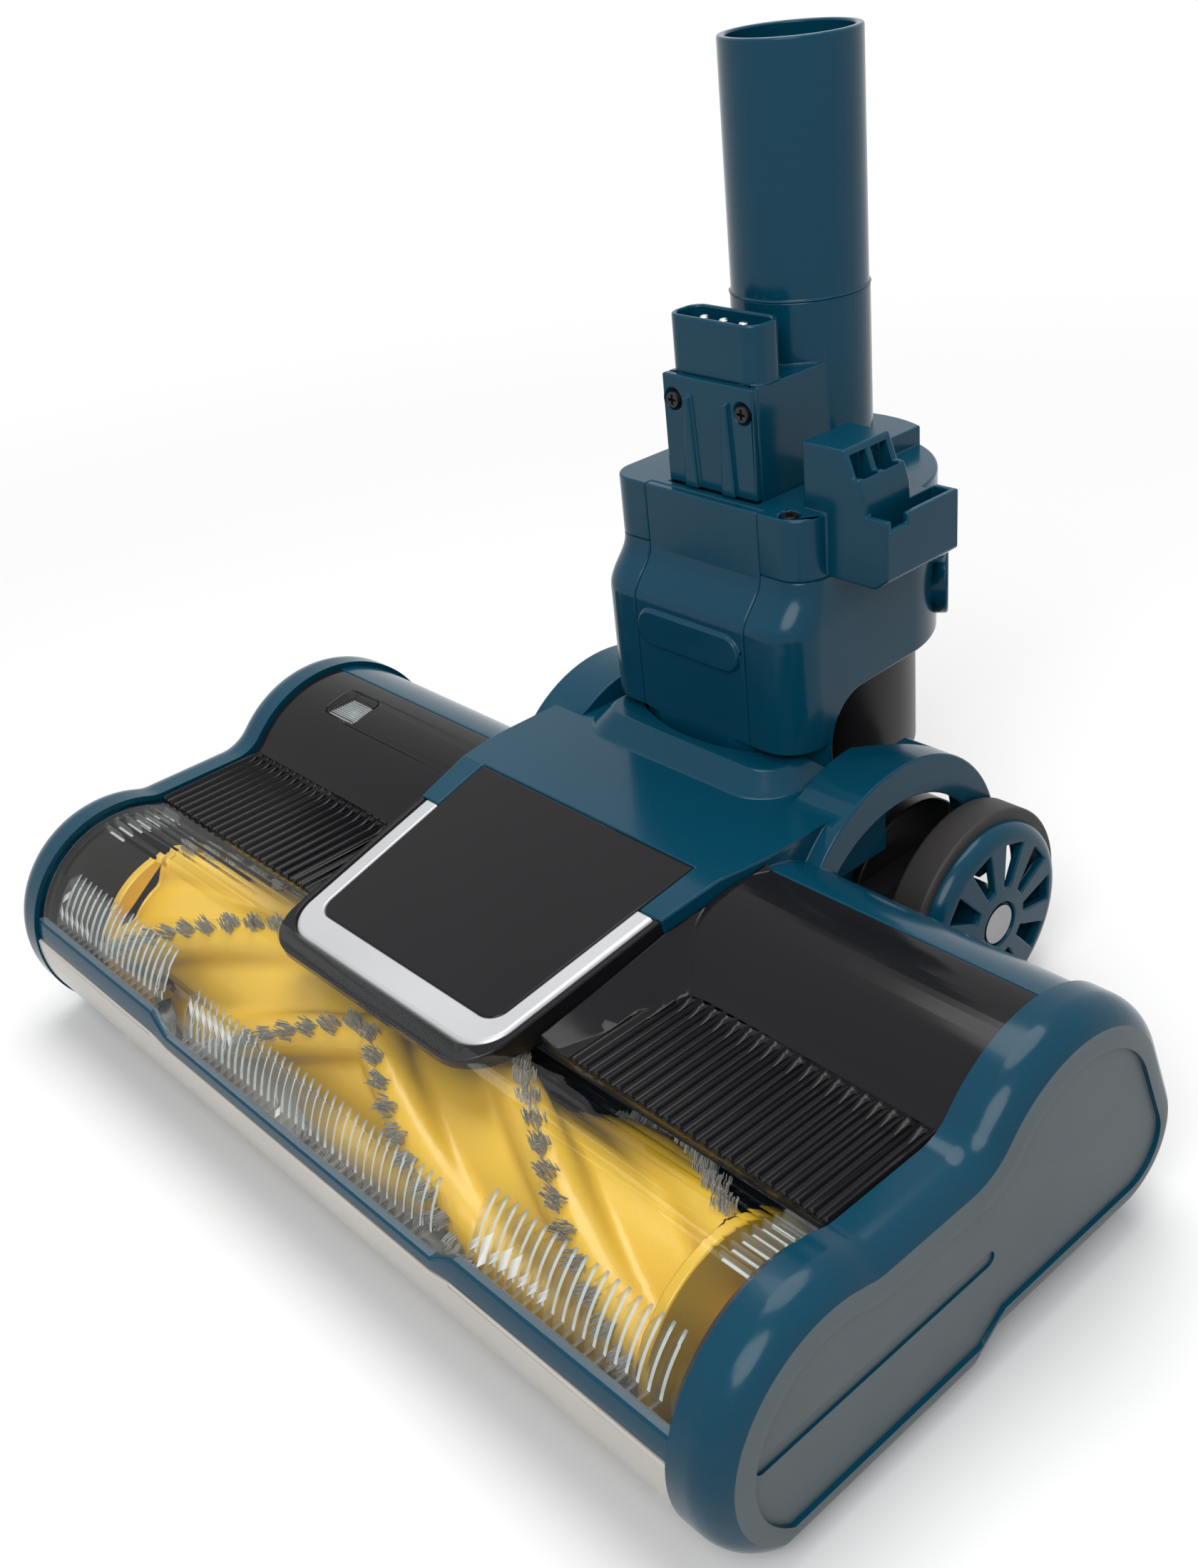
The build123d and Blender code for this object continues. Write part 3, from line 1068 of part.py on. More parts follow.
# Neck body: wide legs, an ogee and a narrow top, before it is parted into shell and panel
with BuildPart() as neck_body:
    extrude(neck_outline(LEG_BOTTOM_Z, *shell_section(0)), amount=OGEE_LOW_Z - LEG_BOTTOM_Z)
    rise = OGEE_TOP_Z - OGEE_LOW_Z
    bend = []
    for step in range(OGEE_STEPS + 1):
        share = (1 - cos(pi * step / OGEE_STEPS)) / 2
        bend.append(neck_outline(OGEE_LOW_Z + rise * step / OGEE_STEPS, *shell_section(share)))
    loft(bend, ruled=True)
    extrude(neck_outline(OGEE_TOP_Z, *shell_section(1)), amount=DECK_TOP_Z - OGEE_TOP_Z)
    with BuildSketch(Plane.YZ.offset(-FAR)) as arch:
        with Locations((TUBE_Y - LEG_REAR, ARCH_TOP_Z)):
            Rectangle(FAR, ARCH_TOP_Z, align=(Align.MIN, Align.MAX))
        fillet(arch.vertices().group_by(Axis.Y)[-1].sort_by(Axis.X)[0], LEG_ARCH_R)
    extrude(amount=2 * FAR, mode=Mode.SUBTRACT)
    with BuildSketch(Plane.XY.offset(LEG_BOTTOM_Z)):
        with Locations((0, TUBE_Y)):
            Circle(2 * FAR)
            Circle(SWIVEL_TRIM_R, mode=Mode.SUBTRACT)
    extrude(amount=SHOULDER_Z + SHOULDER_R + SWIVEL_RISE - LEG_BOTTOM_Z, mode=Mode.SUBTRACT)

panel_back = TUBE_Y - FRONT_PANEL_BACK
with BuildPart() as neck_shell:
    add(neck_body.part)
    block(-FAR, FAR, -FAR, FAR, 0, NECK_TOP_Z, mode=Mode.INTERSECT)
    block(-FRONT_PANEL_HALF, FRONT_PANEL_HALF, -FAR, panel_back, 0, FAR, mode=Mode.SUBTRACT)
    tube_column(DUCT_OUT_R + GAP, 0, OGEE_TOP_Z, Mode.SUBTRACT)
    tube_column(TUBE_R - TUBE_WALL, 0, FAR, Mode.SUBTRACT)
keep(neck_shell, "neck_shell")

with BuildPart() as neck_front_panel:
    add(neck_body.part)
    panel_half = FRONT_PANEL_HALF - SEAM_GAP
    block(-panel_half, panel_half, -FAR, panel_back - FIXED_FIT, 0, FAR, mode=Mode.INTERSECT)
    cavity_half = panel_half - WALL
    cavity_front = TUBE_Y - SHELL_FRONT + WALL
    block(
        -cavity_half, cavity_half, cavity_front, panel_back,
        LEG_BOTTOM_Z + WALL, OGEE_LOW_Z - WALL, mode=Mode.SUBTRACT,
    )
    with BuildSketch(Plane.XZ.offset(SHELL_FRONT - TUBE_Y - WALL / 2)):
        with Locations((0, PAD_Z)):
            SlotOverall(PAD_WIDTH, PAD_HEIGHT)
    extrude(amount=PAD_PROUD + WALL / 2)
keep(neck_front_panel, "neck_front_panel")

# Deck above the neck: a terrace behind, and an arm with wedge and slot for a latch
with BuildPart() as neck_deck:
    deck_outline = neck_outline(NECK_TOP_Z, NECK_FRONT, NECK_HALF, NECK_CORNER_R, DECK_BACK_R)
    extrude(deck_outline, amount=DECK_TOP_Z - NECK_TOP_Z)
    arm_front = TUBE_Y - LATCH_FRONT
    arm_back = TUBE_Y - LATCH_BACK
    terrace_z = DECK_TOP_Z - TERRACE_DROP
    block(TERRACE_X, FAR, arm_back, FAR, terrace_z, FAR, mode=Mode.SUBTRACT)
    with BuildSketch(Plane.XZ.offset(-arm_front)):
        Polygon(
            (0, NECK_TOP_Z), (LATCH_OUT - LATCH_FOOT, NECK_TOP_Z), (LATCH_OUT, LATCH_LOW_Z),
            (LATCH_OUT, LATCH_TOP_Z), (SLOT_IN, LATCH_TOP_Z), (SLOT_IN - SLOT_WALL, DECK_TOP_Z),
            (0, DECK_TOP_Z),
            align=None,
        )
    extrude(amount=arm_front - arm_back)
    with BuildSketch(Plane.XZ.offset(-arm_front)):
        Polygon(
            (WEDGE_IN, DECK_TOP_Z - WALL), (WEDGE_IN, WEDGE_TOP_Z), (WEDGE_TOP_X, WEDGE_TOP_Z),
            (WEDGE_STEP_IN, WEDGE_STEP_Z), (WEDGE_STEP_OUT, WEDGE_STEP_Z),
            (SLOT_IN, WEDGE_LOW_Z), (SLOT_IN, DECK_TOP_Z - WALL),
            align=None,
        )
    extrude(amount=-WEDGE_LENGTH)
    pocket_pitch = (WEDGE_LENGTH - WEDGE_WEB) / 2
    for place in (0, 1):
        pocket_y = arm_front + WEDGE_WEB + place * pocket_pitch
        block(
            WEDGE_TOP_X - WEDGE_WEB, WEDGE_STEP_OUT, pocket_y, pocket_y + pocket_pitch - WEDGE_WEB,
            WEDGE_STEP_Z - WEDGE_POCKET, WEDGE_TOP_Z - WEDGE_WEB, mode=Mode.SUBTRACT,
        )
    block(
        SLOT_IN, LATCH_OUT - SLOT_WALL, arm_front + SLOT_WALL, arm_back - SLOT_WALL,
        SLOT_FLOOR_Z, FAR, mode=Mode.SUBTRACT,
    )
    block(
        LATCH_OUT - 2 * SLOT_WALL, FAR, arm_front + SLOT_WALL, arm_front + SLOT_WALL + SLOT_NOTCH,
        LATCH_TOP_Z - SLOT_NOTCH_DEPTH, FAR, mode=Mode.SUBTRACT,
    )
    block(-FRONT_PANEL_HALF, FRONT_PANEL_HALF, -FAR, panel_back, 0, FAR, mode=Mode.SUBTRACT)
    tube_column(TUBE_R + TUBE_STEP + FIXED_FIT, 0, FAR, Mode.SUBTRACT)
    tower_gap = TOWER_HALF + SEAM_GAP
    tower_cut_y = TUBE_Y - TOWER_FRONT - PLATE_THICK - SEAM_GAP
    block(-tower_gap, tower_gap, tower_cut_y, TUBE_Y, 0, FAR, mode=Mode.SUBTRACT)
    with Locations((DECK_SCREW_X, DECK_SCREW_Y, DECK_TOP_Z)):
        CounterBoreHole(SCREW_R + FIXED_FIT, SCREW_HEAD_R + GAP, SCREW_HEAD, depth=DECK_SCREW_LENGTH)
keep(neck_deck, "neck_deck")

with BuildPart() as deck_screw:
    with Locations((DECK_SCREW_X, DECK_SCREW_Y, DECK_TOP_Z)):
        Cylinder(SCREW_HEAD_R, SCREW_HEAD, align=DOWNWARD)
        Cylinder(SCREW_R, DECK_SCREW_LENGTH, align=DOWNWARD)
        Cylinder(DRIVE_R, DRIVE_DEPTH, align=DOWNWARD, mode=Mode.SUBTRACT)
keep(deck_screw, "deck_screw")

# Air tube with the plug tower moulded to its front
with BuildPart() as air_tube:
    tower_front = TUBE_Y - TOWER_FRONT
    tube_column(TUBE_R, NECK_TOP_Z, TUBE_TOP_Z)
    tube_column(TUBE_R + TUBE_STEP, NECK_TOP_Z, SOCKET_TOP_Z + TUBE_STEP_RISE)
    block(-TOWER_HALF, TOWER_HALF, tower_front, TUBE_Y, NECK_TOP_Z, PLATE_TOP_Z)
    socket_y = TUBE_Y - SOCKET_Y
    with BuildSketch(Plane.XY.offset(PLATE_TOP_Z)):
        with Locations((0, socket_y)):
            RectangleRounded(SOCKET_WIDTH, SOCKET_LENGTH, SOCKET_LENGTH / 2 - SOCKET_WALL)
    extrude(amount=SOCKET_TOP_Z - PLATE_TOP_Z)
    with BuildSketch(Plane.XY.offset(SOCKET_TOP_Z)):
        with Locations((0, socket_y)):
            inside_length = SOCKET_LENGTH - 2 * SOCKET_WALL
            RectangleRounded(SOCKET_WIDTH - 2 * SOCKET_WALL, inside_length, inside_length / 2 - SOCKET_WALL)
    extrude(amount=-SOCKET_DEPTH, mode=Mode.SUBTRACT)
    tube_column(TUBE_R - TUBE_WALL, 0, FAR, Mode.SUBTRACT)
    plate_low = DECK_TOP_Z + SEAM_GAP
    with Locations((-SCREW_X, tower_front, SCREW_Z), (SCREW_X, tower_front, SCREW_Z)):
        Cylinder(SCREW_R + FIXED_FIT, 2 * SCREW_DEPTH, rotation=(90, 0, 0), mode=Mode.SUBTRACT)
keep(air_tube, "air_tube")

with BuildPart() as contact_pins:
    with Locations((0, socket_y, SOCKET_TOP_Z - SOCKET_DEPTH)):
        with GridLocations(CONTACT_PITCH, 0, 3, 1):
            Cylinder(CONTACT_R, SOCKET_DEPTH - CONTACT_DROP, align=UPWARD)
    fillet(contact_pins.edges().filter_by(GeomType.CIRCLE).group_by(Axis.Z)[-1], CONTACT_R / 2)
keep(contact_pins, "contact_pins")

# Cover plate of the plug tower: two tapered ribs and two screws
with BuildPart() as plug_cover_plate:
    block(-TOWER_HALF, TOWER_HALF, tower_front - PLATE_THICK, tower_front, plate_low, PLATE_TOP_Z)
    with BuildSketch(Plane.XZ.offset(PLATE_THICK - tower_front)):
        for side in (1, -1):
            with Locations((side * DART_X, plate_low)):
                Polygon(
                    (-DART_FOOT / 2, 0), (DART_FOOT / 2, 0),
                    (DART_TIP / 2, DART_HEIGHT), (-DART_TIP / 2, DART_HEIGHT),
                    align=None,
                )
    extrude(amount=DART_PROUD)
    with Locations((-SCREW_X, tower_front, SCREW_Z), (SCREW_X, tower_front, SCREW_Z)):
        Cylinder(SCREW_R + FIXED_FIT, 4 * PLATE_THICK, rotation=(90, 0, 0), mode=Mode.SUBTRACT)
    head_seat = tower_front - PLATE_THICK + SCREW_SINK
    with BuildSketch(Plane.XZ.offset(-head_seat)):
        with Locations((-SCREW_X, SCREW_Z), (SCREW_X, SCREW_Z)):
            Circle(SCREW_HEAD_R + GAP)
    extrude(amount=SCREW_HEAD, mode=Mode.SUBTRACT)
keep(plug_cover_plate, "plug_cover_plate")

with BuildPart() as plate_screws:
    with BuildSketch(Plane.XZ.offset(-head_seat)):
        with Locations((-SCREW_X, SCREW_Z), (SCREW_X, SCREW_Z)):
            Circle(SCREW_HEAD_R)
    extrude(amount=SCREW_HEAD)
    with BuildSketch(Plane.XZ.offset(-head_seat)):
        with Locations((-SCREW_X, SCREW_Z), (SCREW_X, SCREW_Z)):
            Circle(SCREW_R)
    extrude(amount=SCREW_SINK - PLATE_THICK - SCREW_DEPTH + GAP)
    with BuildSketch(Plane.XZ.offset(SCREW_HEAD - head_seat)):
        with Locations((-SCREW_X, SCREW_Z), (SCREW_X, SCREW_Z)):
            Circle(DRIVE_R)
    extrude(amount=-DRIVE_DEPTH, mode=Mode.SUBTRACT)
keep(plate_screws, "plate_screws")

# Round caps at the rear of the neck shell
with BuildPart() as shell_caps:
    for turn in (CAP_TURN, 180 - CAP_TURN):
        cap_axis = Plane(
            origin=(0, TUBE_Y, CAP_Z),
            z_dir=(cos(radians(turn)), sin(radians(turn)), 0),
        )
        with BuildSketch(cap_axis.offset(CAP_OUT_R)):
            Circle(CAP_R)
        extrude(amount=DUCT_OUT_R + WALL - CAP_OUT_R)
    fillet(shell_caps.edges().filter_by(GeomType.CIRCLE).sort_by_distance((0, TUBE_Y, CAP_Z))[-2:], CAP_ROUND)
    add(neck_shell.part, mode=Mode.SUBTRACT)
keep(shell_caps, "shell_caps")
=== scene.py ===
import json
import math

import bmesh
import bpy
from bpy.props import FloatProperty, FloatVectorProperty, IntProperty, PointerProperty
from mathutils import Matrix, Vector


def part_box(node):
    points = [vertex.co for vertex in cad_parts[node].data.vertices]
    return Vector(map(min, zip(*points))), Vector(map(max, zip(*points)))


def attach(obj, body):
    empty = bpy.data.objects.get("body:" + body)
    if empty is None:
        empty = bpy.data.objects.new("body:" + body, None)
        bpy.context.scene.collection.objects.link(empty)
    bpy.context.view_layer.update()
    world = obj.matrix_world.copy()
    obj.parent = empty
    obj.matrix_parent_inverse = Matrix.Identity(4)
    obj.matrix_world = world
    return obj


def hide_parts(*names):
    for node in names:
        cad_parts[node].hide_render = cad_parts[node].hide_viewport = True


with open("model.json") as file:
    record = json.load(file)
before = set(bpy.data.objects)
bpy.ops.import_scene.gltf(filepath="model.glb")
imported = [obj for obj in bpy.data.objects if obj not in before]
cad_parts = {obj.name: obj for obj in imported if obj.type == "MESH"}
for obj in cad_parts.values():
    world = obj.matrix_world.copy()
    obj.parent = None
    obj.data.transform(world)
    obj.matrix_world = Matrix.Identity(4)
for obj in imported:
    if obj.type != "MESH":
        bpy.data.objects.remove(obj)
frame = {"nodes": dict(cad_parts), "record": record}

bl_info = {
    "name": "Floor Head Dressing",
    "version": (1, 0, 0),
    "blender": (4, 5, 0),
    "location": "View3D > Sidebar > Floor Head",
    "description": "Dresses a vacuum floor head with finishes, soft edges and fine detail",
    "category": "Object",
}

NODES = frame["nodes"]
BODIES = frame["record"]["behaviour"]["bodies"]
BODY_OF = {node: body for body, nodes in BODIES.items() for node in nodes}
SLOT_OF = {part["node"]: part["material_slot"] for part in frame["record"]["subparts"]}
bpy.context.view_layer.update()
FINISHES = {}  # materials made so far, by name

# Meshes
WELD = 0.000004  # corners closer together than this, in metres, are one
FLAT = math.radians(0.1)  # triangles closer to one plane than this are one flat face
CENTRE = Vector((0.0, -0.081, 0.0315))  # axis of the front lobe, which the window and its comb follow
WINDOW_WALL = 0.00205  # what lies deeper inside the window than this belongs to the comb's ribs
SIDEWAYS = 0.9  # an end cap's face that looks sideways by more than this is one of its sides, which get the painted floor reflection
TIP_INWARDS = 0.8  # a rib's face that looks at the lobe's axis by more than this is its tip
SEAT_INWARDS = 0.9  # a tuft's face that looks at the roll's axis by at least this is its underside

# Fibres, screws and the lens
FIBRE_SIDES = 5
FIBRE_TAPER = 0.7  # radius of a fibre's tip, as a share of its foot's
FIBRE_TRIM = (0.88, 0.99)  # shortest and longest fibre, as shares of the full length
HEAD_SIDES = 32
HEAD_TAPER = 0.8  # radius of the top of a screw's head, as a share of its foot's
SHANK_SIDES = 20
SHANK_SHARE = 0.5  # radius of a screw's shank, as a share of its head's
RECESS_REACH = 1.1  # length of a bar of the cross recess, as a share of the head's radius
SCREW_AXES = {"plate_screws": (0, -1, 0), "deck_screw": (0, 0, 1), "sole_screws": (0, 0, -1)}
LENS_RIB_SIDES = 8
LENS_COVER = 0.8  # share of the lens that its fine ribs take up

# Share of light that the pale clear plastic lets through: frosting on the lens ribs, a painted
# highlight on the comb's rib tips and rib sides
TIP_PASS = 0.25
RIB_PASS = 0.9
LENS_PASS = 0.7

# Camera: focal length in pixels of an image 2199 high, and the eye with its three directions
IMAGE_HIGH = 2199.0
FOCAL = 2339.7
SENSOR = 36.0
NEAREST = 0.01
EYE = Vector((0.29097, -0.24078, 0.29789))
RIGHT = Vector((0.6703179602, 0.7354612892, -0.0988960400))
DOWN = Vector((0.3109712243, -0.3993188059, -0.8625566682))
AHEAD = Vector((-0.6737846168, 0.5474241531, -0.4963372517))

# Stage: place and width of each lamp, what they aim at, and the darkest and palest paper of the floor
LAMPS = {"key": ((0.7, -1.0, 1.3), 1.1), "top": ((-0.2, 0.3, 1.8), 1.3)}
LAMP_AIM = Vector((0.0, 0.0, 0.08))
PAPER_SEEN = ((0.87, 0.87, 0.87), (0.9, 0.9, 0.9))
PAPER_LIT = ((0.43, 0.43, 0.43), (0.47, 0.47, 0.47))
WHITE = (1.0, 1.0, 1.0)

# Colour sockets of the Mix node: its factor, two inputs and output
MIX_SHARE, MIX_FIRST, MIX_SECOND, MIX_RESULT = 0, 6, 7, 2


# Settings

def colour(name, note, default):
    return FloatVectorProperty(
        name=name, description=note, subtype="COLOR", size=3, min=0.0, max=1.0, default=default
    )


def length(name, note, default):
    return FloatProperty(name=name, description=note, unit="LENGTH", min=0.0, default=default)


def angle(name, note, degrees):
    return FloatProperty(name=name, description=note, unit="ROTATION", default=math.radians(degrees))


def power(name, note, default):
    return FloatProperty(name=name, description=note, unit="POWER", default=default)


def count(name, note, least, most, default):
    return IntProperty(name=name, description=note, min=least, max=most, default=default)


class FloorHeadFinishes(bpy.types.PropertyGroup):
    """Colours of the mouldings, metals and bristles."""

    teal: colour("Teal", "Deep teal of the shell, neck and tube", (0.0004, 0.044, 0.081))
    teal_flake: colour("Teal flake", "Paler flakes in the teal", (0.0015, 0.065, 0.116))
    # The grey in this colour is a painted reflection of the pale floor on the end caps' teal sides;
    # their grain is real.
    teal_matt: colour("Matt teal", "Grained sides of the end caps", (0.075, 0.098, 0.108))
    black: colour("Gloss black", "Top panels and badge", (0.0095, 0.0095, 0.011))
    silver: colour("Satin silver", "Frame of the badge", (0.5, 0.505, 0.515))
    clear: colour("Clear tint", "Window and lens", (0.93, 0.95, 0.95))
    # This pale colour is frosting on the lens ribs and a painted highlight on the comb's ribs.
    rib: colour("Clear rib", "Ribs of the comb, paler than the window", (0.95, 0.96, 0.96))
    gold: colour("Gold", "Roll behind the window", (0.85, 0.42, 0.012))
    gold_flake: colour("Gold flake", "Brighter flakes in the roll", (1.0, 0.66, 0.05))
    bristle: colour("Bristle", "Tufts along the roll", (0.33, 0.32, 0.3))
    dark: colour("Dark plastic", "Chassis, duct and inner mouldings", (0.014, 0.014, 0.016))
    bumper: colour("Bumper", "Pale soft strip along the front", (0.5, 0.47, 0.42))
    rubber: colour("Rubber", "Tyres of the wheels", (0.014, 0.012, 0.011))
    steel: colour("Steel", "Axles, shafts and pins", (0.3, 0.3, 0.31))
    screw: colour("Screw", "Blackened steel of the screws", (0.0308, 0.0308, 0.0352))
    contact: colour("Contact", "Plated pins of the plug", (0.78, 0.77, 0.72))
    board: colour("Board", "Lamp board under the lens", (0.06, 0.075, 0.07))


class FloorHeadSizes(bpy.types.PropertyGroup):
    """Sizes of the edges, bristles, screws and lens ribs."""

    edge: length("Edge", "Rounding of the shell's edges", 0.0005)
    rib_edge: length("Rib edge", "Rounding of the ribs on the top panels", 0.0006)
    fine_edge: length("Fine edge", "Rounding of small mouldings", 0.00025)
    edge_angle: angle("Edge angle", "Edges sharper than this are rounded", 34.0)
    fibre: length("Fibre", "Radius of one bristle", 0.00016)
    fibre_count: count("Fibres", "Bristles in one tuft", 4, 200, 45)
    fibre_lean: angle("Fibre lean", "Largest lean of a bristle", 9.0)
    fibre_seed: count("Fibre seed", "Seed of the bristles' places", 0, 1000, 7)
    fibre_length: length("Fibre length", "Length of one bristle", 0.0038)
    screw_head: length("Screw head", "Height of a screw's head", 0.0015)
    recess: length("Recess width", "Width of one arm of a screw's cross recess", 0.0007)
    recess_depth: length("Recess depth", "Depth of a screw's cross recess", 0.0009)
    lens_rib: length("Lens rib", "Width of one fine rib under the lens", 0.0005)
    lens_ribs: count("Lens ribs", "Fine ribs under the lens", 2, 30, 11)


class FloorHeadStage(bpy.types.PropertyGroup):
    """Floor and light around the head."""

    floor_reach: length("Floor reach", "Half width of the floor", 6.0)
    white_from: length("White from", "Distance at which the floor starts to fade to white", 0.3)
    white_to: length("White to", "Distance at which the floor is all white", 0.85)
    key: power("Key", "Soft light over the viewer's shoulder", 17.0)
    top: power("Top", "Wide soft light from above", 20.0)
    room: FloatProperty(name="Room", description="Level of the room's own light", default=0.34)


def finishes():
    return bpy.context.scene.floor_head_finishes


def sizes():
    return bpy.context.scene.floor_head_sizes


# Node building

class Wire:
    """A node's socket that takes part in Python expressions."""

    def __init__(self, socket):
        self.socket = socket

    def node(self, kind, settings=None, inputs=None, output=0):
        """Add any node to this wire's tree and return one of its outputs."""
        made = self.socket.id_data.nodes.new(kind)
        for name, value in (settings or {}).items():
            setattr(made, name, value)
        for name, value in (inputs or {}).items():
            plug(made.inputs[name], value)
        return Wire(made.outputs[output])

    def maths(self, operation, first, second):
        """Add a Math node for two values."""
        return self.node("ShaderNodeMath", {"operation": operation}, {0: first, 1: second})

    def __add__(self, other):
        return self.maths("ADD", self, other)

    def __radd__(self, other):
        return self.maths("ADD", other, self)

    def __sub__(self, other):
        return self.maths("SUBTRACT", self, other)

    def __rsub__(self, other):
        return self.maths("SUBTRACT", other, self)

    def __mul__(self, other):
        return self.maths("MULTIPLY", self, other)

    def __rmul__(self, other):
        return self.maths("MULTIPLY", other, self)

    def __truediv__(self, other):
        return self.maths("DIVIDE", self, other)

    def __rtruediv__(self, other):
        return self.maths("DIVIDE", other, self)


def plug(socket, value):
    """Link a wire to a socket, or set a plain value on it."""
    if isinstance(value, Wire):
        socket.id_data.links.new(value.socket, socket)
    else:
        socket.default_value = value


# Finishes

def opaque(shade):
    """A colour with full alpha, or the wire of a colour as it is."""
    return shade if isinstance(shade, Wire) else (*shade[:3], 1.0)


def shifted(shade, gain):
    return tuple(min(1.0, channel * gain) for channel in shade[:3])


def blank(name, **constants):
    """A new material with its shader, and the wire of object coordinates."""
    material = bpy.data.materials.new(name)
    material.use_nodes = True
    tree = material.node_tree
    shader = tree.nodes["Principled BSDF"]
    for socket, value in constants.items():
        shader.inputs[socket.replace("_", " ")].default_value = value
    place = Wire(tree.nodes.new("ShaderNodeTexCoord").outputs["Object"])
    return material, shader, place


def noise(place, scale, detail=2.0, stretch=None):
    """Noise from 0 to 1 over the surface, at a scale in features per metre."""
    if stretch:
        place = place.node("ShaderNodeMapping", None, {"Vector": place, "Scale": stretch})
    inputs = {"Vector": place, "Scale": scale, "Detail": detail}
    return place.node("ShaderNodeTexNoise", None, inputs)


def blend_colours(share, first, second):
    """A colour between two others."""
    inputs = {MIX_SHARE: share, MIX_FIRST: opaque(first), MIX_SECOND: opaque(second)}
    return share.node("ShaderNodeMix", {"data_type": "RGBA"}, inputs, MIX_RESULT)


def uneven_gloss(shader, share, rough, spread):
    """Let the roughness vary around a middle value."""
    plug(shader.inputs["Roughness"], rough - spread / 2 + share * spread)


def raise_grain(shader, height, depth):
    """Give the surface a fine grain."""
    bump = height.node("ShaderNodeBump", None, {"Height": height, "Distance": depth})
    plug(shader.inputs["Normal"], bump)


def mix_shaders(material, share, first, second):
    """Show a share of another shader in place of the material's own."""
    inputs = {0: share, 1: Wire(first.outputs[0]), 2: second}
    mixed = second.node("ShaderNodeMixShader", None, inputs)
    plug(material.node_tree.nodes["Material Output"].inputs["Surface"], mixed)


def any_ray(tree, *kinds):
    """1 for rays of the given kinds and 0 for the rest."""
    path = tree.nodes.new("ShaderNodeLightPath").outputs
    hit = Wire(path[kinds[0]])
    for kind in kinds[1:]:
        hit = hit.maths("MAXIMUM", hit, Wire(path[kind]))
    return hit


def moulded(name, shade, rough, spread, grain=0.0, depth=0.0, **constants):
    """Moulded plastic: a drifting colour, uneven gloss and, where it has a depth, a fine grain."""
    material, shader, place = blank(name, **constants)
    drift = noise(place, scale=24.0, detail=3.0)
    drifted = blend_colours(drift, shifted(shade, gain=0.86), shifted(shade, gain=1.14))
    plug(shader.inputs["Base Color"], drifted)
    uneven_gloss(shader, noise(place, scale=60.0, detail=4.0), rough, spread)
    if depth:
        raise_grain(shader, noise(place, grain), depth)
    return material


def pearl(name, shade, flake, rough, **constants):
    """Plastic with fine bright flakes in it."""
    material, shader, place = blank(name, **constants)
    flakes = noise(place, scale=5200.0, detail=1.0)
    drift = noise(place, scale=18.0)
    share = flakes * 0.6 + drift * 0.3
    plug(shader.inputs["Base Color"], blend_colours(share, shifted(shade, gain=0.75), flake))
    uneven_gloss(shader, drift, rough, spread=0.06)
    raise_grain(shader, noise(place, scale=700.0), depth=0.000004)
    return material


def clear_moulding(name, tint, rough, spread, **constants):
    """A thin clear wall that bends light a little and lets the lamps through, under a gloss."""
    material, shader, place = blank(name, Transmission_Weight=1.0, **constants)
    swirl = noise(place, scale=70.0)
    plug(shader.inputs["Base Color"], blend_colours(swirl, shifted(tint, gain=0.97), tint))
    uneven_gloss(shader, swirl, rough, spread)
    film = place.node("ShaderNodeBsdfTransparent", None, {"Color": opaque(tint)})
    passing = any_ray(material.node_tree, "Is Shadow Ray", "Is Diffuse Ray")
    mix_shaders(material, passing, shader, film)
    return material


def frost_and_painted_highlight(share):
    """Pale clear plastic that lets a share of the light through: frosting on the lens ribs, a painted
    highlight on the comb's ribs.
    """
    name = "frosted_clear_%d" % round(share * 100)
    if name not in FINISHES:
        paint = finishes()
        material, shader, place = blank(name, IOR=1.46)
        swirl = noise(place, scale=300.0)
        pale = blend_colours(swirl, shifted(paint.rib, gain=0.9), paint.rib)
        plug(shader.inputs["Base Color"], pale)
        uneven_gloss(shader, swirl, rough=0.25, spread=0.1)
        film = place.node("ShaderNodeBsdfTransparent", None, {"Color": opaque(paint.clear)})
        mix_shaders(material, share, shader, film)
        FINISHES[name] = material
    return FINISHES[name]


def turned_metal(name, shade, rough):
    """Turned or drawn metal with fine rings along its axis."""
    material, shader, place = blank(name, Metallic=1.0)
    rings = noise(place, scale=60.0, detail=3.0, stretch=(40.0, 1.0, 1.0))
    ringed = blend_colours(rings, shifted(shade, gain=0.8), shifted(shade, gain=1.1))
    plug(shader.inputs["Base Color"], ringed)
    uneven_gloss(shader, rings, rough, spread=0.16)
    return material


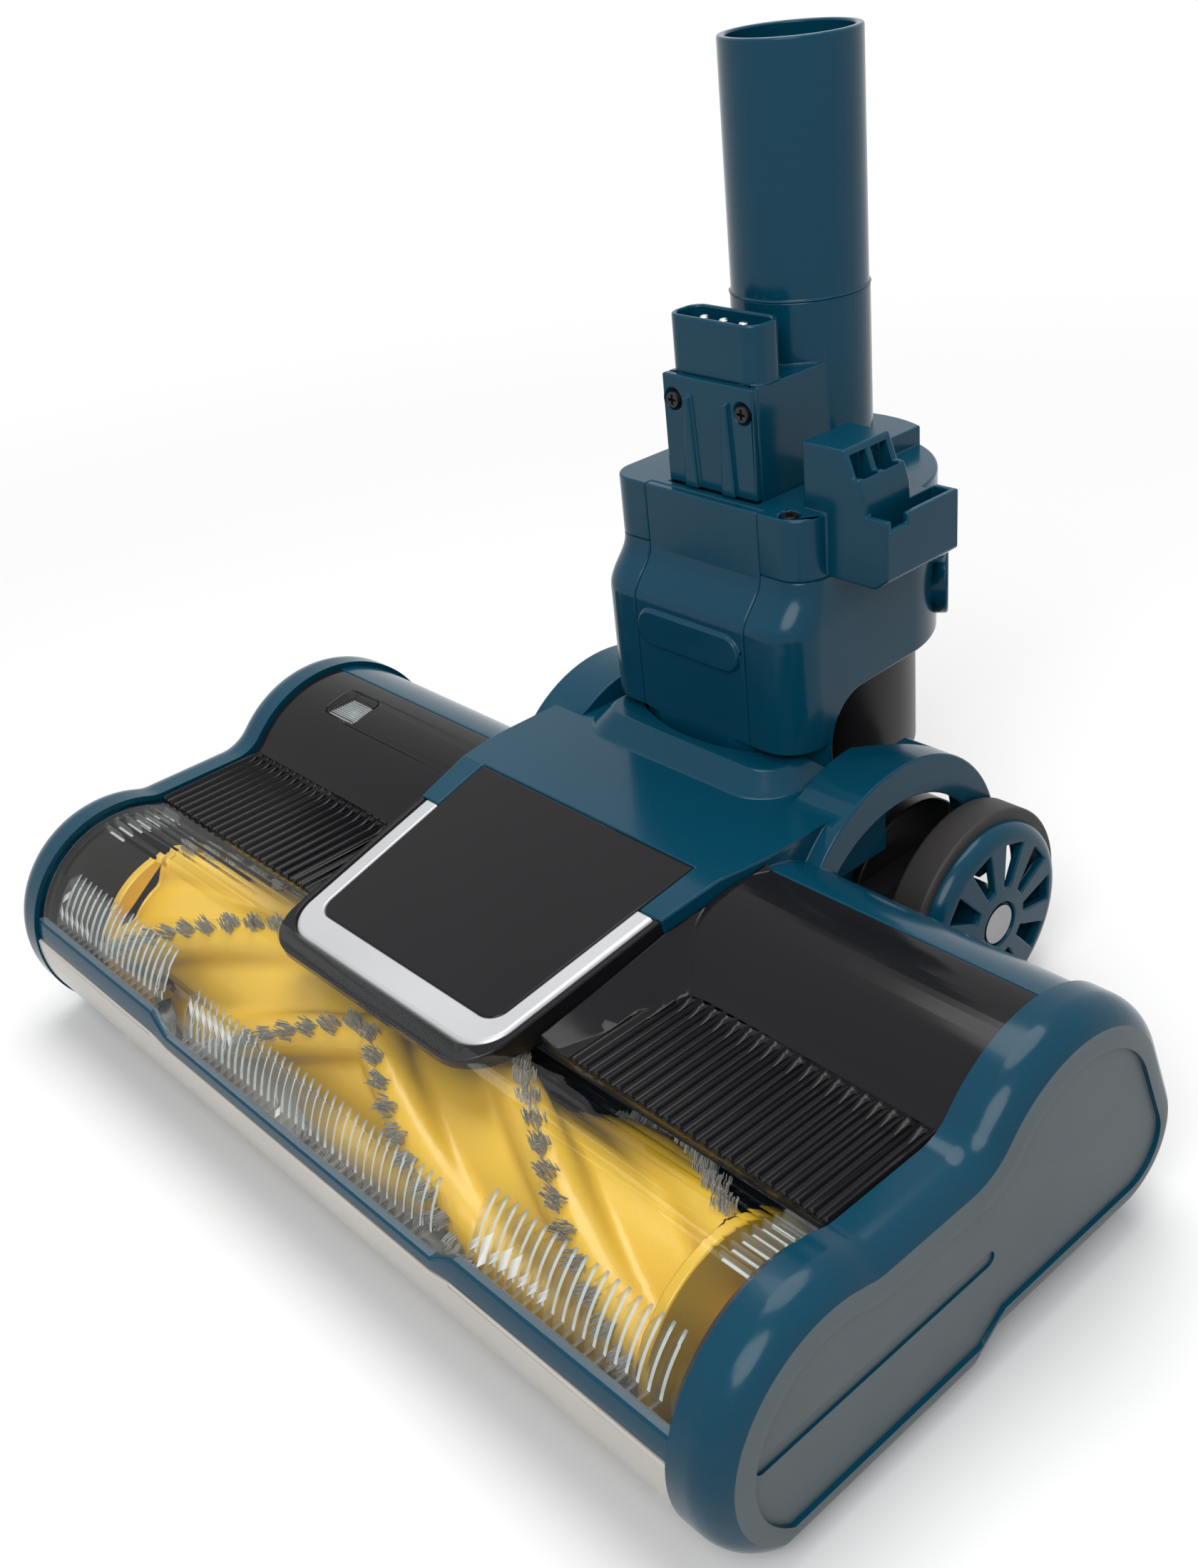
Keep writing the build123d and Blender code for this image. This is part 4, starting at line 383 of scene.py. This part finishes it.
def recipes():
    """How the finish of each of the record's slots is made, and from what."""
    paint = finishes()
    return {
        "teal_plastic": (pearl, dict(
            shade=paint.teal, flake=paint.teal_flake, rough=0.19,
            Coat_Weight=0.06, Specular_IOR_Level=0.16,
        )),
        "golden_plastic": (pearl, dict(
            shade=paint.gold, flake=paint.gold_flake, rough=0.36, Coat_Weight=0.15,
        )),
        "gloss_black": (moulded, dict(
            shade=paint.black, rough=0.13, spread=0.05, Specular_IOR_Level=0.16,
        )),
        "dark_plastic": (moulded, dict(
            shade=paint.dark, rough=0.36, spread=0.12, Specular_IOR_Level=0.26,
        )),
        "satin_silver": (moulded, dict(
            shade=paint.silver, rough=0.36, spread=0.08, grain=2500.0, depth=0.000004, Metallic=0.45,
        )),
        "pale_bumper": (moulded, dict(
            shade=paint.bumper, rough=0.3, spread=0.1, grain=700.0, depth=0.00001, Coat_Weight=0.3,
        )),
        "grey_bristle": (moulded, dict(
            shade=paint.bristle, rough=0.6, spread=0.1, grain=2500.0, depth=0.00002,
        )),
        "wheel_rubber": (moulded, dict(
            shade=paint.rubber, rough=0.62, spread=0.12, grain=2500.0, depth=0.00003,
        )),
        "circuit_board": (moulded, dict(
            shade=paint.board, rough=0.4, spread=0.1, grain=900.0, depth=0.00001,
        )),
        "dark_screw": (moulded, dict(
            shade=paint.screw, rough=0.32, spread=0.1, grain=2000.0, depth=0.00001, Metallic=0.8,
        )),
        "clear_plastic": (clear_moulding, dict(
            tint=paint.clear, rough=0.0225, spread=0.015, IOR=1.03, Coat_Weight=0.4, Coat_IOR=1.46,
        )),
        "steel": (turned_metal, dict(shade=paint.steel, rough=0.3)),
        "plated_contact": (turned_metal, dict(shade=paint.contact, rough=0.2)),
    }


def finish(slot):
    """The material of one of the record's slots, made when it is first asked for."""
    if slot not in FINISHES:
        way, contents = recipes()[slot]
        FINISHES[slot] = way(slot, **contents)
    return FINISHES[slot]


# Pieces

def added(name, data):
    """A new object at the origin."""
    piece = bpy.data.objects.new(name, data)
    bpy.context.scene.collection.objects.link(piece)
    return piece


def points_mesh(name, points):
    """A mesh of loose points."""
    mesh = bpy.data.meshes.new(name)
    mesh.from_pydata(points, [], [])
    return mesh


def coat(*nodes):
    """Give CAD nodes their finishes and leave their shapes as they are."""
    for node in nodes:
        look = NODES[node].data.materials
        look.clear()
        look.append(finish(SLOT_OF[node]))


def settle(piece, node):
    """Let a piece stand for a CAD node, on the node's body, with the node hidden."""
    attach(piece, BODY_OF[node])
    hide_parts(node)


def welded(node):
    """A CAD node's mesh as a work mesh, with its loose triangles joined."""
    work = bmesh.new()
    work.from_mesh(NODES[node].data)
    bmesh.ops.remove_doubles(work, verts=work.verts, dist=WELD)
    return work


def plain_mesh(name, work):
    """The mesh of a work mesh, which is freed."""
    mesh = bpy.data.meshes.new(name)
    work.to_mesh(mesh)
    work.free()
    return mesh


def joined(node, slot=None):
    """A copy of a CAD node with its flat faces made one, smooth between its sharp edges."""
    work = welded(node)
    bmesh.ops.dissolve_degenerate(work, edges=work.edges, dist=WELD)
    bmesh.ops.dissolve_limit(
        work, angle_limit=FLAT, use_dissolve_boundaries=False,
        verts=[], edges=work.edges, delimit=set(),
    )
    mesh = plain_mesh("soft_" + node, work)
    mesh.shade_smooth()
    mesh.set_sharp_from_angle(angle=sizes().edge_angle)
    mesh.materials.append(finish(slot or SLOT_OF[node]))
    return added("soft_" + node, mesh)


def even_out(piece):
    """Shade flat faces flat, up to the rounding beside them."""
    even = piece.modifiers.new("even_shading", "WEIGHTED_NORMAL")
    even.weight = 100
    even.keep_sharp = True


def polish(node, slot=None):
    """A copy of a CAD node with the edges it has, shaded evenly, which stands for it."""
    piece = joined(node, slot)
    even_out(piece)
    settle(piece, node)
    return piece


def soften(width, *nodes, segments=2):
    """Copies of CAD nodes with rounded edges, which stand for them."""
    for node in nodes:
        piece = joined(node)
        rounding = piece.modifiers.new("rounding", "BEVEL")
        rounding.width = width
        rounding.segments = segments
        rounding.limit_method = "ANGLE"
        rounding.angle_limit = sizes().edge_angle
        rounding.use_clamp_overlap = False
        even_out(piece)
        settle(piece, node)


def from_axis(point, axis):
    """The way from an axis along x to a point."""
    way = point - axis
    way.x = 0.0
    return way


def islands(node):
    """The lowest and highest corners of each solid in a CAD node."""
    work = welded(node)
    seen = set()
    boxes = []
    for start in work.verts:
        if start in seen:
            continue
        seen.add(start)
        solid = []
        ahead = [start]
        while ahead:
            point = ahead.pop()
            solid.append(point.co)
            for link in point.link_edges:
                far = link.other_vert(point)
                if far not in seen:
                    seen.add(far)
                    ahead.append(far)
        low = Vector([min(corner[axis] for corner in solid) for axis in range(3)])
        high = Vector([max(corner[axis] for corner in solid) for axis in range(3)])
        boxes.append((low, high))
    work.free()
    return boxes


# Geometry trees

def new_tree(name, inputs):
    """A geometry tree with named inputs: the wires of those inputs, and its way out."""
    tree = bpy.data.node_groups.new(name, "GeometryNodeTree")
    tree.interface.new_socket("Geometry", in_out="OUTPUT", socket_type="NodeSocketGeometry")
    tree.interface.new_socket("Geometry", in_out="INPUT", socket_type="NodeSocketGeometry")
    for label, kind in inputs.items():
        tree.interface.new_socket(label, in_out="INPUT", socket_type="NodeSocket" + kind)
    entry = tree.nodes.new("NodeGroupInput")
    leave = tree.nodes.new("NodeGroupOutput")
    given = {socket.name: Wire(socket) for socket in entry.outputs if socket.name}
    return tree, given, leave.inputs[0]


def close_tree(way_out, instances, look):
    """End a tree in plain geometry with one finish."""
    plain = instances.node("GeometryNodeRealizeInstances", None, {"Geometry": instances})
    done = plain.node("GeometryNodeSetMaterial", None, {"Geometry": plain, "Material": look})
    plug(way_out, done)


def grown(name, mesh, tree, values):
    """An object whose mesh is what a tree makes of the given mesh."""
    piece = added(name, mesh)
    growth = piece.modifiers.new(name, "NODES")
    growth.node_group = tree
    for item in tree.interface.items_tree:
        if item.in_out == "INPUT" and item.name in values:
            growth[item.identifier] = values[item.name]
    seen = piece.evaluated_get(bpy.context.evaluated_depsgraph_get())
    result = bpy.data.meshes.new_from_object(seen)
    piece.modifiers.clear()
    piece.data = result
    result.name = name
    return piece


def fibre_tree():
    """Fibres that stand close together on the tufts' seats and lean a little."""
    tree, given, way_out = new_tree("tuft_fibres", {
        "Radius": "Float", "Length": "Float", "Density": "Float", "Lean": "Float",
        "Seed": "Int", "Finish": "Material",
    })
    seats = given["Geometry"]
    spots = seats.node(
        "GeometryNodeDistributePointsOnFaces", None,
        {"Mesh": seats, "Density": given["Density"], "Seed": given["Seed"]}, "Points",
    )
    upright = Wire(spots.socket.node.outputs["Rotation"])
    fibre = seats.node("GeometryNodeMeshCone", None, {
        "Vertices": FIBRE_SIDES, "Depth": given["Length"],
        "Radius Top": given["Radius"] * FIBRE_TAPER, "Radius Bottom": given["Radius"],
    })
    sway = seats.node(
        "FunctionNodeRandomValue", {"data_type": "FLOAT_VECTOR"},
        {0: (-1.0, -1.0, 0.0), 1: (1.0, 1.0, 0.0), "Seed": given["Seed"]},
    )
    lean = sway.node(
        "ShaderNodeVectorMath", {"operation": "SCALE"}, {0: sway, "Scale": given["Lean"]}
    )
    lean = lean.node("FunctionNodeEulerToRotation", None, {"Euler": lean})
    turn = lean.node(
        "FunctionNodeRotateRotation", {"rotation_space": "LOCAL"},
        {"Rotation": upright, "Rotate By": lean},
    )
    shortest, longest = FIBRE_TRIM
    trim = seats.node(
        "FunctionNodeRandomValue", {"data_type": "FLOAT_VECTOR"},
        {0: (1.0, 1.0, shortest), 1: (1.0, 1.0, longest), "Seed": given["Seed"] + 1},
    )
    rows = seats.node(
        "GeometryNodeInstanceOnPoints", None,
        {"Points": spots, "Instance": fibre, "Rotation": turn, "Scale": trim},
    )
    close_tree(way_out, rows, given["Finish"])
    return tree


def screw_tree():
    """Screws with a tapered head, a cross recess and a plain shank, along one axis."""
    tree, given, way_out = new_tree("cross_screws", {
        "Axis": "Vector", "Head radius": "Float", "Head height": "Float",
        "Shank radius": "Float", "Shank length": "Float",
        "Recess width": "Float", "Recess depth": "Float", "Finish": "Material",
    })
    seats = given["Geometry"]

    def raised(shape, height):
        lift = height.node("ShaderNodeCombineXYZ", None, {"Z": height})
        return shape.node("GeometryNodeTransform", None, {"Geometry": shape, "Translation": lift})

    head = seats.node("GeometryNodeMeshCone", None, {
        "Vertices": HEAD_SIDES, "Depth": given["Head height"],
        "Radius Top": given["Head radius"] * HEAD_TAPER, "Radius Bottom": given["Head radius"],
    })
    narrow = given["Recess width"]
    reach = given["Head radius"] * RECESS_REACH
    deep = given["Recess depth"] * 2.0
    for wide, tall in ((narrow, reach), (reach, narrow)):
        size = wide.node("ShaderNodeCombineXYZ", None, {"X": wide, "Y": tall, "Z": deep})
        bar = raised(size.node("GeometryNodeMeshCube", None, {"Size": size}), given["Head height"])
        head = head.node(
            "GeometryNodeMeshBoolean", {"operation": "DIFFERENCE", "solver": "EXACT"},
            {"Mesh 1": head, "Mesh 2": bar},
        )
    shank = seats.node("GeometryNodeMeshCylinder", None, {
        "Vertices": SHANK_SIDES, "Radius": given["Shank radius"], "Depth": given["Shank length"],
    })
    shank = raised(shank, given["Shank length"] * -0.5)
    screw = head.node("GeometryNodeJoinGeometry")
    for shape in (shank, head):
        plug(screw.socket.node.inputs[0], shape)
    turn = seats.node(
        "FunctionNodeAlignRotationToVector", {"axis": "Z"}, {"Vector": given["Axis"]}
    )
    rows = seats.node(
        "GeometryNodeInstanceOnPoints", None,
        {"Points": seats, "Instance": screw, "Rotation": turn},
    )
    close_tree(way_out, rows, given["Finish"])
    return tree


def rib_tree():
    """Fine bars set side by side across the lens."""
    inputs = {"Width": "Float", "Length": "Float", "Finish": "Material"}
    tree, given, way_out = new_tree("lens_ribs", inputs)
    seats = given["Geometry"]
    bar = seats.node("GeometryNodeMeshCylinder", None, {
        "Vertices": LENS_RIB_SIDES, "Radius": given["Width"] * 0.5, "Depth": given["Length"],
    })
    rows = seats.node(
        "GeometryNodeInstanceOnPoints", None,
        {"Points": seats, "Instance": bar, "Rotation": (0.0, math.pi / 2, 0.0)},
    )
    close_tree(way_out, rows, given["Finish"])
    return tree


# Operators

class FLOORHEAD_OT_shell(bpy.types.Operator):
    """Round the edges of the teal shell and the front of the head, and shade the end caps evenly with
    a painted floor reflection on their sides
    """

    bl_idname = "floorhead.shell"
    bl_label = "Shell"

    def execute(self, context):
        soften(sizes().edge, "top_cover", "front_strip", "front_bumper", "sole_plate")
        # The end caps' sides get a grained teal whose grey colour is a painted reflection of the
        # floor.
        matt = moulded(
            "teal_matt", finishes().teal_matt, rough=0.55, spread=0.1, grain=2600.0, depth=0.00002
        )
        for node in ("left_end_cap", "right_end_cap"):
            self.grain_sides(polish(node).data, matt)
        polish("shell_caps", "teal_plastic")
        coat("chassis", "motor_saddle", "suction_duct")
        return {"FINISHED"}

    def grain_sides(self, cap, matt):
        """Give the outer sides of an end cap their grain and their greyish colour, a painted
        reflection of the pale floor.
        """
        cap.materials.append(matt)
        for face in cap.polygons:
            if face.normal.x * face.center.x > SIDEWAYS * abs(face.center.x):
                face.material_index = 1


class FLOORHEAD_OT_console(bpy.types.Operator):
    """Round the edges of the black panels, the badge, its frame and the lens"""

    bl_idname = "floorhead.console"
    bl_label = "Console"

    def execute(self, context):
        size = sizes()
        soften(size.rib_edge, "left_top_panel", "right_top_panel", segments=3)
        soften(size.edge, "console_base", "badge_panel", "silver_trim")
        soften(size.fine_edge, "indicator_lens")
        coat("indicator_board")
        self.rib_lens(size)
        return {"FINISHED"}

    def rib_lens(self, size):
        """Set fine ribs under the lens."""
        low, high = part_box("indicator_lens")
        cover = (high - low) * LENS_COVER
        middle = (low + high) / 2
        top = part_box("indicator_board")[1].z + size.lens_rib / 2
        gaps = size.lens_ribs - 1
        steps = [step / gaps - 0.5 for step in range(size.lens_ribs)]
        seats = [(middle.x, middle.y + step * cover.y, top) for step in steps]
        values = {"Width": size.lens_rib, "Length": cover.x, "Finish": frost_and_painted_highlight(LENS_PASS)}
        ribs = grown("lens_ribs", points_mesh("lens_seats", seats), rib_tree(), values)
        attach(ribs, BODY_OF["indicator_lens"])


class FLOORHEAD_OT_window(bpy.types.Operator):
    """Give the comb window its clear plastic and paint highlights on its ribs in pale plastic"""

    bl_idname = "floorhead.window"
    bl_label = "Window"

    def execute(self, context):
        window = joined("clear_window")
        # The comb ribs' tips and sides get pale plastic, which is a painted highlight.
        window.data.materials.append(frost_and_painted_highlight(TIP_PASS))
        window.data.materials.append(frost_and_painted_highlight(RIB_PASS))
        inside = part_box("clear_window")[1].z - CENTRE.z - WINDOW_WALL
        for face in window.data.polygons:
            out = from_axis(face.center, CENTRE)
            if out.length < inside:
                tip = face.normal.dot(out.normalized()) < -TIP_INWARDS
                face.material_index = 1 if tip else 2
        settle(window, "clear_window")
        return {"FINISHED"}


class FLOORHEAD_OT_roll(bpy.types.Operator):
    """Finish the twisted roll and its bearings"""

    bl_idname = "floorhead.roll"
    bl_label = "Brush Roll"

    def execute(self, context):
        soften(sizes().edge, "brush_core")
        coat("brush_pulley", "brush_bearing_left", "brush_bearing_right")
        return {"FINISHED"}


class FLOORHEAD_OT_bristles(bpy.types.Operator):
    """Grow the fibres of each tuft along the roll"""

    bl_idname = "floorhead.bristles"
    bl_label = "Bristles"

    def execute(self, context):
        size = sizes()
        seats = self.tuft_seats()
        tufts = len(islands("brush_bristles"))
        area = sum(face.area for face in seats.polygons) / tufts
        if not area:
            raise RuntimeError("the tufts have no seats")
        values = {
            "Radius": size.fibre, "Length": size.fibre_length, "Lean": size.fibre_lean,
            "Density": size.fibre_count / area, "Seed": size.fibre_seed,
            "Finish": finish(SLOT_OF["brush_bristles"]),
        }
        settle(grown("tuft_fibres", seats, fibre_tree(), values), "brush_bristles")
        return {"FINISHED"}

    def tuft_seats(self):
        """The undersides of the tufts, turned outwards, as the ground that their fibres grow on."""
        low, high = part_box("brush_bristles")
        axis = (low + high) / 2
        work = welded("brush_bristles")
        spare = []
        for face in work.faces:
            out = from_axis(face.calc_center_median(), axis)
            if face.normal.dot(out.normalized()) > -SEAT_INWARDS:
                spare.append(face)
        bmesh.ops.delete(work, geom=spare, context="FACES")
        bmesh.ops.reverse_faces(work, faces=work.faces)
        return plain_mesh("tuft_seats", work)


class FLOORHEAD_OT_drive(bpy.types.Operator):
    """Finish the motor, its shaft, pulley and belt"""

    bl_idname = "floorhead.drive"
    bl_label = "Drive"

    def execute(self, context):
        coat("drive_motor", "motor_shaft", "motor_pulley", "drive_belt")
        return {"FINISHED"}


class FLOORHEAD_OT_wheels(bpy.types.Operator):
    """Round the wheel hubs and front rollers and shade the tyres evenly"""

    bl_idname = "floorhead.wheels"
    bl_label = "Wheels"

    def execute(self, context):
        size = sizes()
        for side in ("left", "right"):
            soften(size.edge, side + "_wheel_hub")
            polish(side + "_wheel_tyre")
            soften(size.fine_edge, side + "_front_roller")
            coat(side + "_axle")
        coat("roller_pins")
        return {"FINISHED"}


class FLOORHEAD_OT_neck(bpy.types.Operator):
    """Round the edges of the neck, its deck and plug, and the air tube"""

    bl_idname = "floorhead.neck"
    bl_label = "Neck"

    def execute(self, context):
        soften(
            sizes().edge, "neck_shell", "neck_deck", "neck_front_panel", "plug_cover_plate",
            "air_tube", "tilt_yoke",
        )
        coat("contact_pins")
        return {"FINISHED"}


class FLOORHEAD_OT_screws(bpy.types.Operator):
    """Set screws with cross recesses in the neck and the sole"""

    bl_idname = "floorhead.screws"
    bl_label = "Screws"

    def execute(self, context):
        tree = screw_tree()
        for node, axis in SCREW_AXES.items():
            self.set_screws(tree, node, Vector(axis))
        return {"FINISHED"}

    def set_screws(self, tree, node, axis):
        """Set one group of equal screws where its solids are."""
        size = sizes()
        boxes = islands(node)
        half = (boxes[0][1] - boxes[0][0]) / 2
        along = abs(half.dot(axis))
        rise = axis * (along - size.screw_head)
        seats = [(low + high) / 2 + rise for low, high in boxes]
        values = {
            "Axis": axis, "Head radius": half.x, "Head height": size.screw_head,
            "Shank radius": half.x * SHANK_SHARE, "Shank length": 2 * along - size.screw_head,
            "Recess width": size.recess, "Recess depth": size.recess_depth,
            "Finish": finish(SLOT_OF[node]),
        }
        settle(grown("cross_" + node, points_mesh(node + "_seats", seats), tree, values), node)


class FLOORHEAD_OT_stage(bpy.types.Operator):
    """Set the camera, the floor and soft studio light"""

    bl_idname = "floorhead.stage"
    bl_label = "Stage"

    def execute(self, context):
        stage = context.scene.floor_head_stage
        self.photo_camera(context.scene)
        self.paper_floor(stage)
        for name, (place, width) in LAMPS.items():
            self.soft_light(name, place, width, getattr(stage, name))
        self.white_room(context.scene, stage)
        context.scene.view_settings.view_transform = "Standard"
        return {"FINISHED"}

    def photo_camera(self, scene):
        """Look at the head as the photo does."""
        lens = bpy.data.cameras.new("photo_camera")
        lens.sensor_width = SENSOR
        lens.lens = SENSOR * FOCAL / IMAGE_HIGH
        lens.clip_start = NEAREST
        camera = added("photo_camera", lens)
        turn = Matrix((RIGHT, -DOWN, -AHEAD)).transposed()
        camera.matrix_world = Matrix.Translation(EYE) @ turn.to_4x4()
        scene.camera = camera

    def paper_floor(self, stage):
        """A pale floor that takes the shadow and fades to plain white around it."""
        reach = stage.floor_reach
        corners = [(-reach, -reach, 0), (reach, -reach, 0), (reach, reach, 0), (-reach, reach, 0)]
        mesh = bpy.data.meshes.new("floor")
        mesh.from_pydata(corners, [], [(0, 1, 2, 3)])
        added("floor", mesh)
        paper, shader, place = blank("floor_paper", Roughness=0.7, Specular_IOR_Level=0.2)
        mottle = noise(place, scale=3.0)
        lit = blend_colours(mottle, *PAPER_LIT)
        seen = blend_colours(mottle, *PAPER_SEEN)
        shade = blend_colours(self.seen_rays(paper.node_tree), lit, seen)
        plug(shader.inputs["Base Color"], shade)
        away = place.node("ShaderNodeVectorMath", {"operation": "LENGTH"}, {0: place}, "Value")
        span = {"Value": away, "From Min": stage.white_from, "From Max": stage.white_to}
        share = place.node("ShaderNodeMapRange", {"interpolation_type": "SMOOTHSTEP"}, span)
        white = place.node("ShaderNodeEmission", None, {"Color": opaque(WHITE), "Strength": 1.0})
        mix_shaders(paper, share, shader, white)
        mesh.materials.append(paper)

    def soft_light(self, name, place, width, energy):
        """A round lamp that looks at the head."""
        lamp = bpy.data.lights.new(name, "AREA")
        lamp.shape = "DISK"
        lamp.size = width
        lamp.energy = energy
        holder = added(name, lamp)
        holder.location = place
        holder.rotation_euler = (LAMP_AIM - Vector(place)).to_track_quat("-Z", "Y").to_euler()

    def white_room(self, scene, stage):
        """A room that is white to the viewer and dimmer as a light."""
        world = bpy.data.worlds.new("studio")
        world.use_nodes = True
        scene.world = world
        room = world.node_tree.nodes["Background"].inputs
        room["Color"].default_value = opaque(WHITE)
        seen = self.seen_rays(world.node_tree)
        plug(room["Strength"], stage.room + seen * (1.0 - stage.room))

    def seen_rays(self, tree):
        """1 for rays that show the background to the viewer, straight or in gloss and glass."""
        return any_ray(tree, "Is Camera Ray", "Is Glossy Ray", "Is Transmission Ray")


OPERATORS = (
    FLOORHEAD_OT_shell,
    FLOORHEAD_OT_console,
    FLOORHEAD_OT_window,
    FLOORHEAD_OT_roll,
    FLOORHEAD_OT_bristles,
    FLOORHEAD_OT_drive,
    FLOORHEAD_OT_wheels,
    FLOORHEAD_OT_neck,
    FLOORHEAD_OT_screws,
    FLOORHEAD_OT_stage,
)


class FLOORHEAD_PT_sidebar(bpy.types.Panel):
    """Buttons for each group of pieces"""

    bl_idname = "FLOORHEAD_PT_sidebar"
    bl_label = "Floor Head"
    bl_space_type = "VIEW_3D"
    bl_region_type = "UI"
    bl_category = "Floor Head"

    def draw(self, context):
        for operator in OPERATORS:
            self.layout.operator(operator.bl_idname)


CLASSES = (
    FloorHeadFinishes, FloorHeadSizes, FloorHeadStage, *OPERATORS, FLOORHEAD_PT_sidebar
)


def register():
    for kind in CLASSES:
        bpy.utils.register_class(kind)
    bpy.types.Scene.floor_head_finishes = PointerProperty(type=FloorHeadFinishes)
    bpy.types.Scene.floor_head_sizes = PointerProperty(type=FloorHeadSizes)
    bpy.types.Scene.floor_head_stage = PointerProperty(type=FloorHeadStage)


def unregister():
    del bpy.types.Scene.floor_head_stage
    del bpy.types.Scene.floor_head_sizes
    del bpy.types.Scene.floor_head_finishes
    for kind in reversed(CLASSES):
        bpy.utils.unregister_class(kind)


def main():
    register()
    bpy.ops.floorhead.shell()
    bpy.ops.floorhead.console()
    bpy.ops.floorhead.window()
    bpy.ops.floorhead.roll()
    bpy.ops.floorhead.bristles()
    bpy.ops.floorhead.drive()
    bpy.ops.floorhead.wheels()
    bpy.ops.floorhead.neck()
    bpy.ops.floorhead.screws()
    bpy.ops.floorhead.stage()


if __name__ == "__main__":
    main()
